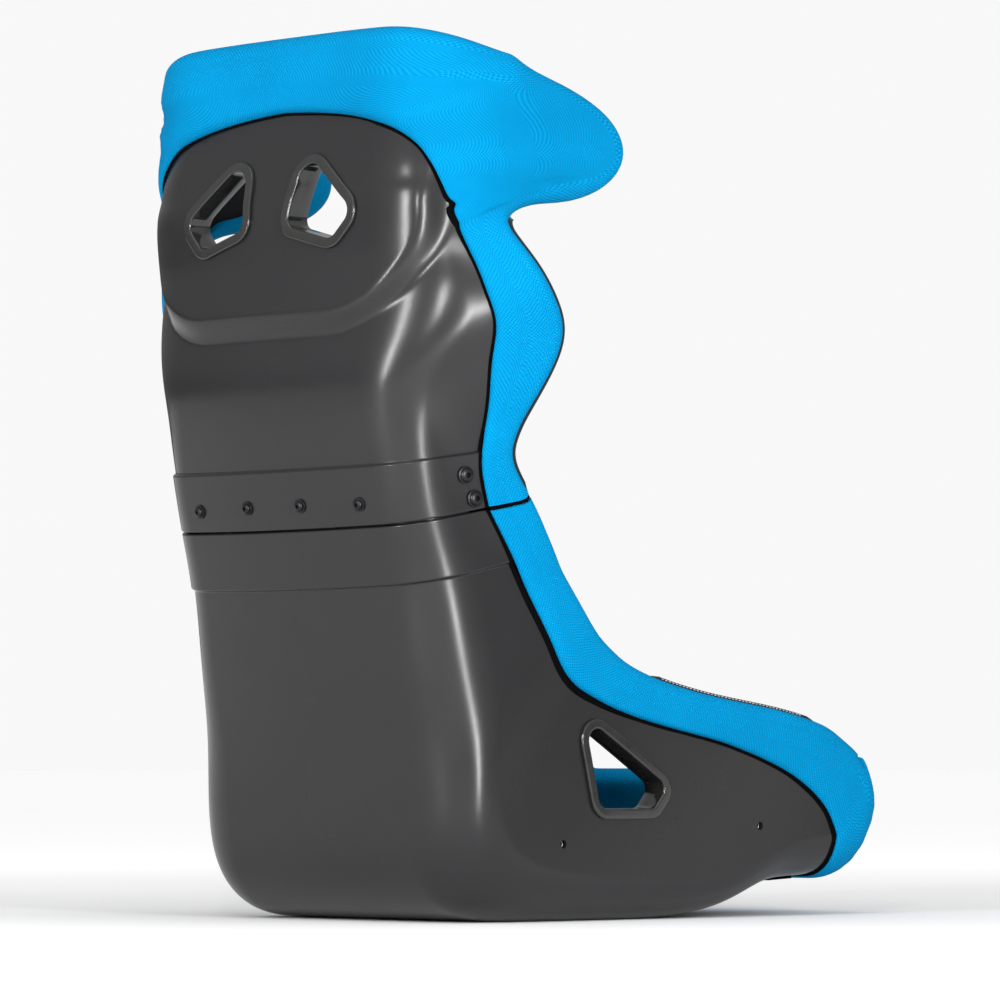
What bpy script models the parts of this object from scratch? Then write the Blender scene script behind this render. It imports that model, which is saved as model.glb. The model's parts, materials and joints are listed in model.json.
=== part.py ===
"""Two-piece fixed-back racing seat: laminate shells, splice band, padded trims, cushions,
harness-hole bezels and fasteners. Metres, +Z up, the seat faces -Y."""
import bpy
import math
import numpy as np

# ---------------------------------------------------------------- driving dimensions (mm)
F_MID = 330.12            # distance from the back plane to the middle of the seat's depth
TH = 5.0                 # laminate thickness
GAP = 1.2                # clearance between a trim's slot and the laminate
SEAM_HALF = 1.1          # half of the open joint between the two shells
JOGGLE = 3.2             # how far the two bands stand proud
HUNCH = 14.0             # height of the panel behind the shoulders
BOLT_PITCH, BOLT_Z = 78.5, 418.0
SIDE_BOLTS = ((75.0, 447.0), (87.0, 424.0))
SIDE_MOUNTS = ((206.0, 77.0), (496.0, 95.0))
BEZEL_W, BEZEL_H, TUNNEL = 11.0, 4.0, 24.0
SHOULDER_HOLE = ((44.0, 776.0), (122.0, 711.0), (95.0, 683.0), (33.0, 700.0))
LAP_HOLE = ((236.0, 207.0), (353.0, 136.0), (334.0, 114.0), (257.0, 114.0))
CROTCH_SLOT = (330.0, 0.0, 62.0, 24.0)   # centre f, x, width across, depth front to back

# spine (f, z), rim (f, z), half width at the corner, corner radius, rim half width, crown
STATIONS = np.array([
    (662, 143, 645, 160, 208, 21, 207, 0), (675, 114, 632, 167, 210, 36, 208, 0),
    (676, 78, 620, 173, 211, 44, 208, 0), (642, 49, 608, 179, 210, 44, 208, 0),
    (560, 40, 588, 187, 208, 42, 209, 0), (480, 16, 530, 199, 206, 42, 210, 0),
    (400, 2, 460, 208, 205, 42, 210, 0), (330, 0, 400, 217, 205, 44, 208, 0),
    (260, 0, 345, 229, 205, 48, 206, 0), (200, 0, 310, 240, 205, 54, 204, 0),
    (150, 1, 285, 252, 205, 62, 202, 0), (108, 9, 268, 264, 205, 70, 201, 0),
    (76, 30, 254, 275, 205, 76, 200, .0001), (60, 62, 243, 286, 205, 80, 200, .0002),
    (54, 105, 234, 297, 205, 80, 200, .0003), (48, 163, 224, 310, 204, 80, 200, .0004),
    (35, 235, 210, 328, 201, 75, 200, .0005), (20, 335, 180, 370, 195, 66, 200, .0005),
    (5, 394, 145, 422, 190, 60, 203, .0005), (-8, 454, 114, 474, 190, 60, 206, .0005),
    (-14, 480, 116, 500, 192, 66, 218, .0005), (-20, 515, 123, 536, 200, 80, 240, .0005),
    (-22, 550, 131, 570, 218, 100, 256, .0005), (-18, 580, 130, 594, 236, 116, 263, .0005),
    (-13, 610, 114, 618, 246, 124, 267, .0005), (-8, 640, 99, 641, 248, 124, 265, .0005),
    (-4, 664, 86, 664, 244, 120, 255, .0005), (-2, 686, 76, 688, 237, 110, 241, .0004),
    (0, 706, 88, 709, 230, 96, 230, .0003), (2, 724, 138, 733, 226, 90, 227, .0002),
    (5, 742, 222, 751, 223, 88, 223, .0001), (7, 762, 257, 775, 221, 86, 220, 0),
    (9, 782, 248, 798, 219, 86, 219, 0), (11, 802, 218, 816, 218, 86, 218, 0),
    (13, 822, 184, 828, 217, 86, 217, 0), (15, 842, 154, 836, 215, 80, 215, 0),
    (17, 858, 129, 844, 213, 76, 213, 0), (20, 874, 108, 852, 211, 72, 211, 0)], float)
SEAM, TOP = 18, 37
W1, W2 = 0.36, 0.70      # shares of the half section: crown, corner, side wall

# rim station, rim share -> station and share of the trim's outer edge, then
# outer thickness, crest height, inner thickness, inner reach
UPPER_EDGE = np.array([
    (18.06, 1, 18.06, .88, 6, 12, 7, 12), (18.7, 1, 18.67, .897, 6, 12, 7, 12),
    (19.3, 1, 19.2, .903, 6, 12, 7, 12), (20, 1, 19.98, .908, 7, 12, 7, 12),
    (20.8, 1, 20.8, .895, 8, 12, 7, 12), (22, 1, 22, .845, 9, 12, 7, 12),
    (23.2, 1, 23.2, .79, 9, 12, 7, 12), (24.4, 1, 24.4, .781, 9, 12, 7, 12),
    (25.6, 1, 25.6, .79, 9, 12, 7, 12), (26.6, 1, 26.5, .76, 9, 11, 7, 12),
    (27.6, 1, 27.3, .69, 10, 11, 8, 14), (28.4, 1, 28.0, .63, 12, 12, 9, 18),
    (29, 1, 28.6, .59, 13, 14, 12, 28), (29.6, 1, 29.1, .56, 14, 16, 16, 42),
    (30, 1, 29.6, .54, 15, 17, 18, 55), (30.5, 1, 30.0, .53, 15, 17, 18, 55),
    (31, 1, 30.5, .52, 16, 17, 18, 55), (31.5, 1, 30.9, .51, 16, 17, 18, 52),
    (32, 1, 31.2, .50, 16, 17, 18, 50), (33, 1, 31.6, .483, 16, 17, 18, 46),
    (34, 1, 31.9, .465, 16, 18, 18, 42), (35, 1, 32.2, .445, 16, 18, 18, 38),
    (36, 1, 32.4, .425, 16, 18, 17, 34), (36.6, 1, 32.55, .41, 16, 18, 16, 32),
    (37, 1, 32.7, .39, 16, 18, 15, 30), (37, .85, 32.85, .37, 16, 18, 14, 26),
    (37, .7, 33.0, .34, 16, 18, 13, 22), (37, .55, 33.2, .30, 16, 18, 12, 18),
    (37, .4, 33.4, .24, 16, 18, 12, 16), (37, .25, 33.6, .16, 16, 18, 12, 14),
    (37, .1, 33.75, .07, 16, 18, 12, 13), (37, 0, 33.8, 0, 16, 18, 12, 13)], float)
LOWER_EDGE = np.array([
    (17.93, 1, 17.93, .867, 6, 12, 7, 12), (17, 1, 16.95, .872, 8, 12, 7, 12),
    (16.3, 1, 16.32, .88, 9, 13, 7, 12), (15, 1, 15.07, .905, 9, 14, 7, 11),
    (12.75, 1, 12.75, .93, 9, 15, 7, 10), (11, 1, 11.08, .945, 9, 15, 7, 10),
    (9.4, 1, 9.38, .953, 9, 16, 7, 9), (7, 1, 7.06, .955, 9, 16, 7, 9),
    (6, 1, 6.2, .95, 9, 16, 7, 9), (5, 1, 5.37, .93, 9, 15, 7, 10),
    (4, 1, 4.6, .895, 9, 14, 8, 14), (3, 1, 3.9, .83, 9, 14, 10, 24),
    (2, 1, 3.52, .782, 9, 13, 12, 40), (1, 1, 3.38, .73, 9, 13, 13, 58),
    (0, 1, 3.31, .689, 9, 13, 14, 66), (0, .85, 3.34, .64, 9, 13, 14, 66),
    (0, .7, 3.36, .60, 9, 13, 14, 66), (0, .5, 3.36, .5, 9, 13, 14, 66),
    (0, .25, 3.36, .25, 9, 13, 14, 66), (0, 0, 3.36, 0, 9, 13, 14, 66)], float)


# ---------------------------------------------------------------- base surface
def natural_spline(x, y):
    n, h = len(x), np.diff(x)
    a, b = np.zeros((n, n)), np.zeros((n,) + y.shape[1:])
    a[0, 0] = a[-1, -1] = 1
    for i in range(1, n - 1):
        a[i, i - 1], a[i, i], a[i, i + 1] = h[i - 1], 2 * (h[i - 1] + h[i]), h[i]
        b[i] = 6 * ((y[i + 1] - y[i]) / h[i] - (y[i] - y[i - 1]) / h[i - 1])
    m = np.linalg.solve(a, b)

    def at(t):
        i = np.clip(np.searchsorted(x, t) - 1, 0, n - 2)
        u, v, w = (x[i + 1] - t) / h[i], (t - x[i]) / h[i], h[i] ** 2 / 6
        return (u[:, None] * y[i] + v[:, None] * y[i + 1]
                + ((u ** 3 - u) * w)[:, None] * m[i] + ((v ** 3 - v) * w)[:, None] * m[i + 1])
    return at


def smoothed(table, n):
    k = np.exp(-0.5 * (np.arange(-3 * n, 3 * n + 1) / n) ** 2)
    k /= k.sum()
    ext = np.concatenate([2 * table[:1] - table[1:3 * n + 1][::-1], table,
                          2 * table[-1:] - table[-3 * n - 1:-1][::-1]])
    return np.stack([np.convolve(ext[:, j], k, 'valid') for j in range(table.shape[1])], 1)


TK = np.concatenate([[0], np.cumsum(
    0.5 * (np.hypot(*np.diff(STATIONS[:, 0:2], axis=0).T) + np.hypot(*np.diff(STATIONS[:, 2:4], axis=0).T)))])
TD = np.linspace(0, TK[-1], 1201)
TABLE = smoothed(natural_spline(TK, STATIONS)(TD), 8)
TABLE[:, 1] = np.maximum(TABLE[:, 1], 0)


def at_k(k):
    return np.interp(k, np.arange(len(TK)), TK)


def smoothstep(a, b, v):
    s = np.clip((v - a) / (b - a), 0, 1)
    return s * s * s * (s * (6 * s - 15) + 10)


def base(t, s):
    t, s = np.broadcast_arrays(np.asarray(t, float), np.asarray(s, float))
    w = np.abs(s)
    pf, pz, qf, qz, wc, r, wq, c = [np.interp(t, TD, TABLE[:, j]) for j in range(8)]
    hh = np.hypot(qf - pf, qz - pz)
    ef, ez = (qf - pf) / hh, (qz - pz) / hh
    x1 = wc - r
    for _ in range(4):
        th0 = np.arctan(2 * c * x1)
        x1 = wc - r * (1 - np.sin(th0))
    h1 = c * x1 * x1
    ox, oh = x1 - r * np.sin(th0), h1 + r * np.cos(th0)
    vx, vh = wq - ox, hh - oh
    th1 = np.arctan2(vh, vx) - np.arccos(r / np.maximum(np.hypot(vx, vh), r * 1.0001)) + np.pi / 2
    u1 = np.clip(w / W1, 0, 1)
    th = th0 + (th1 - th0) * np.clip((w - W1) / (W2 - W1), 0, 1)
    u3 = np.maximum(w - W2, 0) / (1 - W2)
    xt, ht = ox + r * np.sin(th1), oh - r * np.cos(th1)
    x = np.where(w <= W1, u1 * x1, np.where(w <= W2, ox + r * np.sin(th), xt + (wq - xt) * u3))
    h = np.where(w <= W1, c * (u1 * x1) ** 2, np.where(w <= W2, oh - r * np.cos(th), ht + (hh - ht) * u3))
    return np.stack([np.where(s < 0, -x, x), pf + ef * h, pz + ez * h], -1)


def unit(v):
    return v / np.maximum(np.linalg.norm(v, axis=-1, keepdims=True), 1e-12)


def normal(t, s):
    s = np.where(np.abs(s) < 0.002, 0.002, s)
    dt = base(np.minimum(t + 1.5, TK[-1]), s) - base(np.maximum(t - 1.5, 0), s)
    ds = base(t, s + 0.004) - base(t, s - 0.004)
    return unit(np.cross(ds, dt))


def lift(t, s, ease=2.0):
    """Relief of the outer face: the panel behind the shoulders and the two joint bands."""
    p = base(t, s)
    ax, z = np.abs(p[..., 0]), p[..., 2]
    qx, qz = ax - 87.0, 707.0 - z
    d = np.where((qx > 0) & (qz > 0), np.hypot(qx, qz) - 110, np.maximum(qx, qz) - 110)
    hunch = HUNCH * (1 - smoothstep(-16, 16, d)) * (1 - smoothstep(690, 835, z))
    hunch = np.where(t > at_k(21), hunch, 0)
    band = (smoothstep(at_k(17) - 2 - 8 * (ease - 2), at_k(17) + 4 - ease, t)
            * (1 - smoothstep(at_k(19) - 4 + ease, at_k(19) + 2 + 8 * (ease - 2), t)))
    return hunch + JOGGLE * band


def pos(t, s, n, relief=1.0, ease=2.0):
    """Point on the seat: station t, share s of the half section, n outwards from the laminate's face."""
    t, s, n = np.broadcast_arrays(*[np.asarray(v, float) for v in (t, s, n)])
    return base(t, s) + (n + relief * lift(t, s, ease))[..., None] * normal(t, s)


SEARCH = np.meshgrid(np.linspace(0, TK[-1], 700), np.linspace(0.005, 1, 240), indexing='ij')
SEARCH = [*SEARCH, base(*SEARCH)]


def locate(a, z, side):
    """(t, s) whose base point has this z and this x (back) or this f (side wall)."""
    tt, ww, p = SEARCH
    d = (p[..., 2] - z) ** 2 + (p[..., 1 if side else 0] - a) ** 2
    if side:
        d = d + np.where(ww < 0.55, 1e6, 0)
    else:
        d = d + np.where((ww > 0.6) | (tt < at_k(13)), 1e6, 0)
    i = np.unravel_index(d.argmin(), d.shape)
    return tt[i], ww[i]


# ---------------------------------------------------------------- scene helpers
for old in list(bpy.data.objects):
    bpy.data.objects.remove(old, do_unlink=True)
SEAT = bpy.data.collections.new('racing_seat')
CUTTERS = bpy.data.collections.new('cutters')
for c in (SEAT, CUTTERS):
    bpy.context.scene.collection.children.link(c)


def material(name, rgb, rough, metal=0.0, coat=0.0):
    m = bpy.data.materials.new(name)
    m.use_nodes = True
    b = m.node_tree.nodes['Principled BSDF']
    b.inputs['Base Color'].default_value = (*rgb, 1)
    b.inputs['Roughness'].default_value = rough
    b.inputs['Metallic'].default_value = metal
    b.inputs['Coat Weight'].default_value = coat
    return m


def to_world(p):
    """x, f, z in mm to the world in metres."""
    p = np.asarray(p, float)
    return np.stack([p[..., 0], F_MID - p[..., 1], p[..., 2]], -1) / 1000


def add(name, points, faces, mat, cutter=False, smooth=35):
    me = bpy.data.meshes.new(name)
    me.from_pydata([tuple(map(float, p)) for p in points], [], [tuple(map(int, f)) for f in faces])
    me.validate()
    ob = bpy.data.objects.new(name, me)
    (CUTTERS if cutter else SEAT).objects.link(ob)
    bm_fix(me)
    if cutter:
        ob.hide_render = True
        ob.display_type = 'WIRE'
    else:
        me.materials.append(mat)
        me.shade_smooth()
        me.set_sharp_from_angle(angle=math.radians(smooth))
    return ob


def bm_fix(me):
    import bmesh
    bm = bmesh.new()
    bm.from_mesh(me)
    bmesh.ops.remove_doubles(bm, verts=bm.verts, dist=2e-6)
    bmesh.ops.recalc_face_normals(bm, faces=bm.faces)
    if bm.calc_volume(signed=True) < 0:
        bmesh.ops.reverse_faces(bm, faces=bm.faces)
    bm.to_mesh(me)
    bm.free()


def slab(outer, inner):
    """Closed body between two grids of points with the same rows and columns."""
    r, c = outer.shape[:2]
    pts = np.concatenate([outer.reshape(-1, 3), inner.reshape(-1, 3)])
    g = np.arange(r * c).reshape(r, c)
    h = g + r * c
    faces = [(g[i, j], g[i, j + 1], g[i + 1, j + 1], g[i + 1, j]) for i in range(r - 1) for j in range(c - 1)]
    faces += [(h[i, j], h[i + 1, j], h[i + 1, j + 1], h[i, j + 1]) for i in range(r - 1) for j in range(c - 1)]
    ring = ([(0, j) for j in range(c - 1)] + [(i, c - 1) for i in range(r - 1)]
            + [(r - 1, j) for j in range(c - 1, 0, -1)] + [(i, 0) for i in range(r - 1, 0, -1)])
    for a, b in zip(ring, ring[1:] + ring[:1]):
        faces.append((g[a], h[a], h[b], g[b]))
    return pts, faces


def tube(loops, closed):
    """Body swept through loops of equal length: capped at both ends, or closed on itself."""
    m, k = loops.shape[:2]
    pts = loops.reshape(-1, 3)
    faces = []
    for i in range(m if closed else m - 1):
        a, b = i * k, ((i + 1) % m) * k
        faces += [(a + j, a + (j + 1) % k, b + (j + 1) % k, b + j) for j in range(k)]
    if not closed:
        faces += [tuple(range(k))[::-1], tuple(range((m - 1) * k, m * k))]
    return pts, faces


def cut(target, cutter):
    m = target.modifiers.new('cut_' + cutter.name, 'BOOLEAN')
    m.operation, m.solver, m.object = 'DIFFERENCE', 'EXACT', cutter


def prism(name, outline, low, high):
    """Cutter: a closed outline of world points moved between two offsets."""
    o = np.asarray(outline)
    return add(name, *tube(np.stack([o + low, o + high]), False), None, cutter=True)


def rounded(poly, radii, n):
    """Outline with rounded corners, n points per corner, and its outward directions."""
    poly = np.asarray(poly, float)
    pts, out = [], []
    m = len(poly)
    area = sum(poly[i - 1][0] * poly[i][1] - poly[i][0] * poly[i - 1][1] for i in range(m))
    if area < 0:
        poly, radii = poly[::-1], list(radii)[::-1]
    for i in range(m):
        p, a, b = poly[i], unit(poly[i - 1] - poly[i]), unit(poly[(i + 1) % m] - poly[i])
        half = math.acos(np.clip(a @ b, -1, 1)) / 2
        r = radii[i]
        centre = p + unit(a + b) * r / math.sin(half)
        n0 = np.array([-a[1], a[0]])
        n0 = n0 if n0 @ (p - centre) > 0 else -n0
        n1 = np.array([-b[1], b[0]])
        n1 = n1 if n1 @ (p - centre) > 0 else -n1
        for q in np.linspace(0, 1, n):
            d = unit(n0 * (1 - q) + n1 * q)
            pts.append(centre + r * d)
            out.append(d)
    return np.array(pts), np.array(out)


# ---------------------------------------------------------------- materials
SHELL = material('laminate', (0.065, 0.063, 0.068), 0.3, coat=0.3)
BLUE = material('blue_mesh_fabric', (0.006, 0.46, 0.83), 0.9)
BLACK = material('black_mesh_fabric', (0.012, 0.012, 0.014), 0.9)
GLOSS = material('gloss_black_plastic', (0.02, 0.021, 0.022), 0.15)
STEEL = material('black_oxide_steel', (0.03, 0.03, 0.032), 0.35, 0.9)
ZINC = material('zinc_steel', (0.5, 0.5, 0.5), 0.35, 1.0)


# ---------------------------------------------------------------- shells
def shell(name, ks, columns):
    tt, ss = np.meshgrid(ks, columns, indexing='ij')
    return add(name, *slab(to_world(pos(tt, ss, 0)), to_world(pos(tt, ss, -TH))), SHELL)


COLS = np.array([0, .17, .33, .40, .47, .54, .61, .68, .79, .90, 1.0])
COLS = np.concatenate([-COLS[:0:-1], COLS])
b0, b1, b2 = at_k(17), at_k(SEAM), at_k(19)
UPPER_ROWS = np.concatenate([[b1 + SEAM_HALF, b1 + 32, b2 - 2.2, b2 + 2.2],
                             at_k(np.array([20, 21, 22, 22.8, 23.4, 24.0, 24.7, 25.6, 26.5, 27.2, 27.8, 28.3, 28.8, 29.4, 30.3, 31.6, 33, 34.5, 36, 37]))])
LOWER_ROWS = np.concatenate([at_k(np.array([0, .5, 1, 1.5, 1.9, 2.3, 2.7, 3.2, 4, 5, 6, 7.5, 9, 10, 10.8, 11.5, 12.2, 13, 14, 15, 16])),
                             [b0 - 2.2, b0 + 2.2, b1 - 30, b1 - SEAM_HALF]])
upper = shell('upper_shell', UPPER_ROWS, COLS)
lower = shell('lower_shell', LOWER_ROWS, COLS)

cols = COLS.copy()
cols = cols[np.abs(cols) < 0.79]
cols = np.concatenate([[-0.84], cols, [0.84]])
tt, ss = np.meshgrid(np.array([b0 + 14, b0 + 38, b1, b1 + 32, b2 - 12]), cols, indexing='ij')
splice = add('splice_band', *slab(to_world(pos(tt, ss, -TH - 0.6)), to_world(pos(tt, ss, -TH - 3.6))), SHELL)


# ---------------------------------------------------------------- padded trims round the rims
def edge_path(table, count):
    """The trim's stations, evenly spaced along the rim, from the joint to the middle."""
    i = np.arange(len(table))
    fine = np.linspace(0, len(table) - 1, 900)
    cols_ = np.stack([np.interp(fine, i, table[:, j]) for j in range(8)], 1)
    cols_[:, [0, 2]] = np.stack([at_k(cols_[:, 0]), at_k(cols_[:, 2])], 1)
    cols_[:, 2:] = smoothed(cols_[:, 2:], 22)
    rim, edge = base(cols_[:, 0], cols_[:, 1]), base(cols_[:, 2], cols_[:, 3])
    d = 0
    for line in (rim, edge):
        step = np.diff(line, axis=0)
        turn = np.linalg.norm(np.diff(smoothed(unit(step), 9), axis=0), axis=1)
        d = d + np.linalg.norm(step, axis=1) + 70 * np.concatenate([turn[:1], turn])
    d = np.concatenate([[0], np.cumsum(d)])
    whole = np.concatenate([rim, rim[-2::-1] * [-1, 1, 1]])
    along = unit(smoothed(np.gradient(whole, axis=0), 12))[:900]
    cols_ = np.concatenate([cols_, along], 1)
    return np.stack([np.interp(np.linspace(0, d[-1], count), d, cols_[:, j]) for j in range(11)], 1)


OUT_K = np.array([1, .92, .76, .58, .38, .18])
IN_K = np.array([.5, .93, 1])
CREST = np.radians([20, 66, 112, 158])


def trim_loops(table, count):
    path = edge_path(table, count)
    gt, gw, bt, bw, to, cr, ti, reach = path[:, :8].T
    rim = base(gt, gw)
    along = unit(path[:, 8:])      # the crest stands square to this, in the surface
    nn = normal(gt, gw)
    tan = unit(np.cross(nn, along))
    inwards = base(gt + .08 * (bt - gt), gw + .08 * (bw - gw)) - rim
    tan = np.where((tan * inwards).sum(1, keepdims=True) > 0, -tan, tan)
    span = np.linalg.norm(base(bt, bw) - rim, axis=1)
    ik = np.clip(reach / span, 0.1, 0.92)

    def face(k, n):
        return pos(gt + k * (bt - gt), gw + k * (bw - gw), n, ease=6.0)

    loops = [face(1, GAP)]
    for k in OUT_K:
        loops.append(face(k, GAP + to * (.42 + .58 * (1 - k ** 4) ** .5)))
    mid, half = (to - TH - ti) / 2, (to + ti + TH + 2 * GAP) / 2
    for a in CREST:
        loops.append(rim + (cr * np.sin(a))[:, None] * tan + (lift(gt, gw, 6.0) + mid + half * np.cos(a))[:, None] * nn)
    for k in IN_K:
        loops.append(face(k * ik, -TH - 3.4 - (ti - 2.2) * max(1 - k ** 4, 0) ** .5))
    # the slot is wider inside than at its mouths
    deep, deep_in = np.maximum(3.4, to * .5), np.maximum(4.2, ti * .45)
    deep = deep + np.where(gt < at_k(2.2), 1.2, 0)
    loops.append(face(.86 * ik, -TH - deep_in))
    loops.append(face(.4 * ik, -TH - deep_in))
    room = np.where(gt < at_k(1.7), 8.6, 6.3)[:, None]
    for n in (-TH - deep_in, deep):
        loops.append(rim + room * tan + (lift(gt, gw, 6.0) + n)[:, None] * nn)
    for k in (.18, .38, .58, .76, .90):
        loops.append(face(k, deep))
    half_loops = np.stack(loops, 1)
    other = half_loops[-2::-1] * [-1, 1, 1]
    return np.concatenate([half_loops, other])


add('upper_trim', *tube(to_world(trim_loops(UPPER_EDGE, 34)), False), BLUE)
add('lower_trim', *tube(to_world(trim_loops(LOWER_EDGE, 28)), False), BLUE)


# ---------------------------------------------------------------- cushions
def pad(name, t0, t1, s0, s1, thick, rows=7, columns=9, under=1.0, dome=0.0, edge=4.0, mat=None, power=4, bow=0.0):
    """Cushion lying on the inside of a shell, between two stations and two shares."""
    v = np.concatenate([[-1, -.93], np.linspace(-.72, .72, rows), [.93, 1]])
    u = np.concatenate([[-1, -.93], np.linspace(-.72, .72, columns), [.93, 1]])
    vv, uu = np.meshgrid(v, u, indexing='ij')
    rt = (t0 + t1) / 2 + (t1 - t0) / 2 * vv * (1 - .05 * uu ** 6)
    rs = (s0 + s1) / 2 + (s1 - s0) / 2 * uu * (1 - .05 * vv ** 6)
    prof = np.maximum((1 - np.abs(vv) ** power) * (1 - np.abs(uu) ** power), 0) ** .5
    low = -TH - under - dome * (prof > 0.3)
    return add(name, *slab(to_world(pos(rt, rs, low, 0)),
                           to_world(pos(rt, rs, -TH - under - edge - (thick - edge) * prof, 0))), mat or BLACK)


def bolster(name, k0, k1, w0, thick, rise, sign, rows, seat_in=9.5):
    """Side cushion from the middle of the corner out over the trim's inner edge."""
    v = np.concatenate([[0, .03], np.linspace(.09, .91, rows), [.97, 1]])
    c = np.array([0, .06, .25, .47, .62, .76, .92, 1])
    tt, cc = np.meshgrid(at_k(k0) + (at_k(k1) - at_k(k0)) * v, c, indexing='ij')
    vv = 2 * np.broadcast_to(v[:, None], tt.shape) - 1
    w_at = np.minimum(w0 + (1 - w0) * cc / .60, 1.0)
    beyond = np.maximum(cc - .60, 0) / .40 * rise
    tan = unit(base(tt, 1.0) - base(tt, .97))
    over = smoothstep(.25, .45, cc)
    round_v = np.maximum(1 - np.abs(vv) ** 6, 0) ** .5
    under = 3.4 + 3.4 * (round_v > .3) * (cc > .02)
    under = np.maximum(under, over * seat_in)
    round_c = np.maximum(1 - np.abs(2 * cc - 1) ** 4, 0) ** .5
    low = -TH - under
    top = np.minimum(-TH - under - 3.0, -TH - 4.0 - (thick - 4.0) * round_c * round_v)
    out = []
    for n in (low, top):
        p = pos(tt, w_at, n, 0) + beyond[..., None] * tan
        out.append(to_world(p * [sign, 1, 1]))
    return add(name, *slab(*out), BLACK)


K = at_k
pad('seat_cushion', K(10.5), K(6.1), -.325, .325, 24, rows=5, columns=4, under=1.6)
pad('thigh_cushion', K(5.95), K(3.4), -.325, .325, 34, rows=6, columns=4, under=2.5)
pad('lumbar_pad', K(14.6), K(18.9), -.36, .36, 26, rows=6, columns=5, under=1.2, dome=8.0)
pad('back_pad', K(19.2), K(25.6), -.36, .36, 22, rows=6, columns=5, under=1.6)
pad('head_pad', K(32.95), K(35.5), -.23, .23, 18, rows=2, columns=3)
for tag, sg in (('right', -1), ('left', 1)):
    pad('head_side_pad_' + tag, K(29.9), K(34.4), sg * .47, sg * .76, 18, rows=3, columns=3, under=1.5)
    bolster('shoulder_pad_' + tag, 18.15, 26.6, .44, 24, 14.5, sg, 6)
    bolster('hip_pad_' + tag, 17.85, 4.7, .44, 22, 18.5, sg, 8)


# ---------------------------------------------------------------- harness openings and their bezels
def back_face(x, z):
    """f of the outer face behind the shoulders at x, z."""
    t, s = locate(abs(x), z, False)
    for _ in range(3):
        p = pos(t, s, 0)
        t += z - p[2]
        s += (abs(x) - p[0]) * W1 / 130
    return pos(t, s, 0)[1]


def bezel_loops(outline, outwards, level, sign):
    """Ring section: flange on the outer face, sleeve through the laminate. level(p) is the face's height."""
    section = ((BEZEL_W, 1.2), (BEZEL_W - .8, BEZEL_H * .75), (BEZEL_W - 3, BEZEL_H), (2, BEZEL_H), (.2, BEZEL_H - 1.2),
               (0, -TUNNEL), (2.6, -TUNNEL), (2.8, 1.2))
    rings = []
    for p, d in zip(outline, outwards):
        rings.append([(*(p + o * d), h) for o, h in section])
    return np.array(rings)


def surface_level(points2, level):
    return np.array([[level(a, b) for a, b, _ in ring] for ring in points2])


def shoulder_bezel(tag, sg):
    line, out = rounded(SHOULDER_HOLE, (16, 13, 13, 12), 4)
    rings = bezel_loops(line, out, None, 1)
    face = surface_level(rings, back_face)
    h = rings[..., 2]
    # the sleeve's inner end is cut square to the hole, so it keeps one level
    f = face - h
    world = to_world(np.stack([sg * rings[..., 0], f, rings[..., 1]], -1))
    add('shoulder_bezel_' + tag, *tube(world, True), GLOSS)
    edge = np.stack([sg * (line + 3.2 * out)[:, 0], np.zeros(len(line)), (line + 3.2 * out)[:, 1]], -1)
    c = prism('cut_shoulder_' + tag, to_world(edge), np.array([0, -.06, 0]), np.array([0, .06, 0]))
    cut(upper, c)


def side_face(f, z):
    t, s = locate(f, z, True)
    return pos(t, s, 0)[0]


def lap_bezel(tag, sg):
    line, out = rounded(LAP_HOLE, (12, 10, 10, 12), 4)
    rings = bezel_loops(line, out, None, 1)
    face = surface_level(rings, side_face)
    world = to_world(np.stack([sg * (face + rings[..., 2]), rings[..., 0], rings[..., 1]], -1))
    add('lap_bezel_' + tag, *tube(world, True), GLOSS)
    e = line + 3.2 * out
    edge = np.stack([np.full(len(e), sg * 205.0), e[:, 0], e[:, 1]], -1)
    c = prism('cut_lap_' + tag, to_world(edge), np.array([-.045, 0, 0]), np.array([.045, 0, 0]))
    cut(lower, c)
    wide = line + 4.2 * out
    edge = np.stack([np.full(len(e), sg * 190.0), wide[:, 0], wide[:, 1]], -1)
    c = prism('cut_lap_pad_' + tag, to_world(edge), np.array([-.05, 0, 0]), np.array([.05, 0, 0]))
    cut(bpy.data.objects['hip_pad_' + tag], c)


for tag, sg in (('right', -1), ('left', 1)):
    shoulder_bezel(tag, sg)
    lap_bezel(tag, sg)

cf, cx, cw, cd = CROTCH_SLOT
slot, slot_out = rounded(((cf - cd / 2, -cw / 2), (cf + cd / 2, -cw / 2), (cf + cd / 2, cw / 2), (cf - cd / 2, cw / 2)), (10,) * 4, 4)
rings = []
for p, d in zip(slot, slot_out):
    rings.append([((p + o * d)[1], (p + o * d)[0], h) for o, h in
                  ((0, .5), (2.4, .5), (2.6, TH + 1.8), (7, TH + 1.8), (7, TH + 3), (5.5, TH + 4), (1, TH + 4), (0, TH + 3.2))])
add('crotch_bezel', *tube(to_world(np.array(rings)), True), GLOSS)
e = slot + 3.2 * slot_out
c = prism('cut_crotch', to_world(np.stack([e[:, 1], e[:, 0], np.zeros(len(e))], -1)), np.array([0, 0, -.03]), np.array([0, 0, .03]))
cut(lower, c)
e = slot + 8.5 * slot_out
c = prism('cut_crotch_pad', to_world(np.stack([e[:, 1], e[:, 0], np.full(len(e), 25.)], -1)), np.array([0, 0, -.024]), np.array([0, 0, .04]))
cut(bpy.data.objects['seat_cushion'], c)


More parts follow.
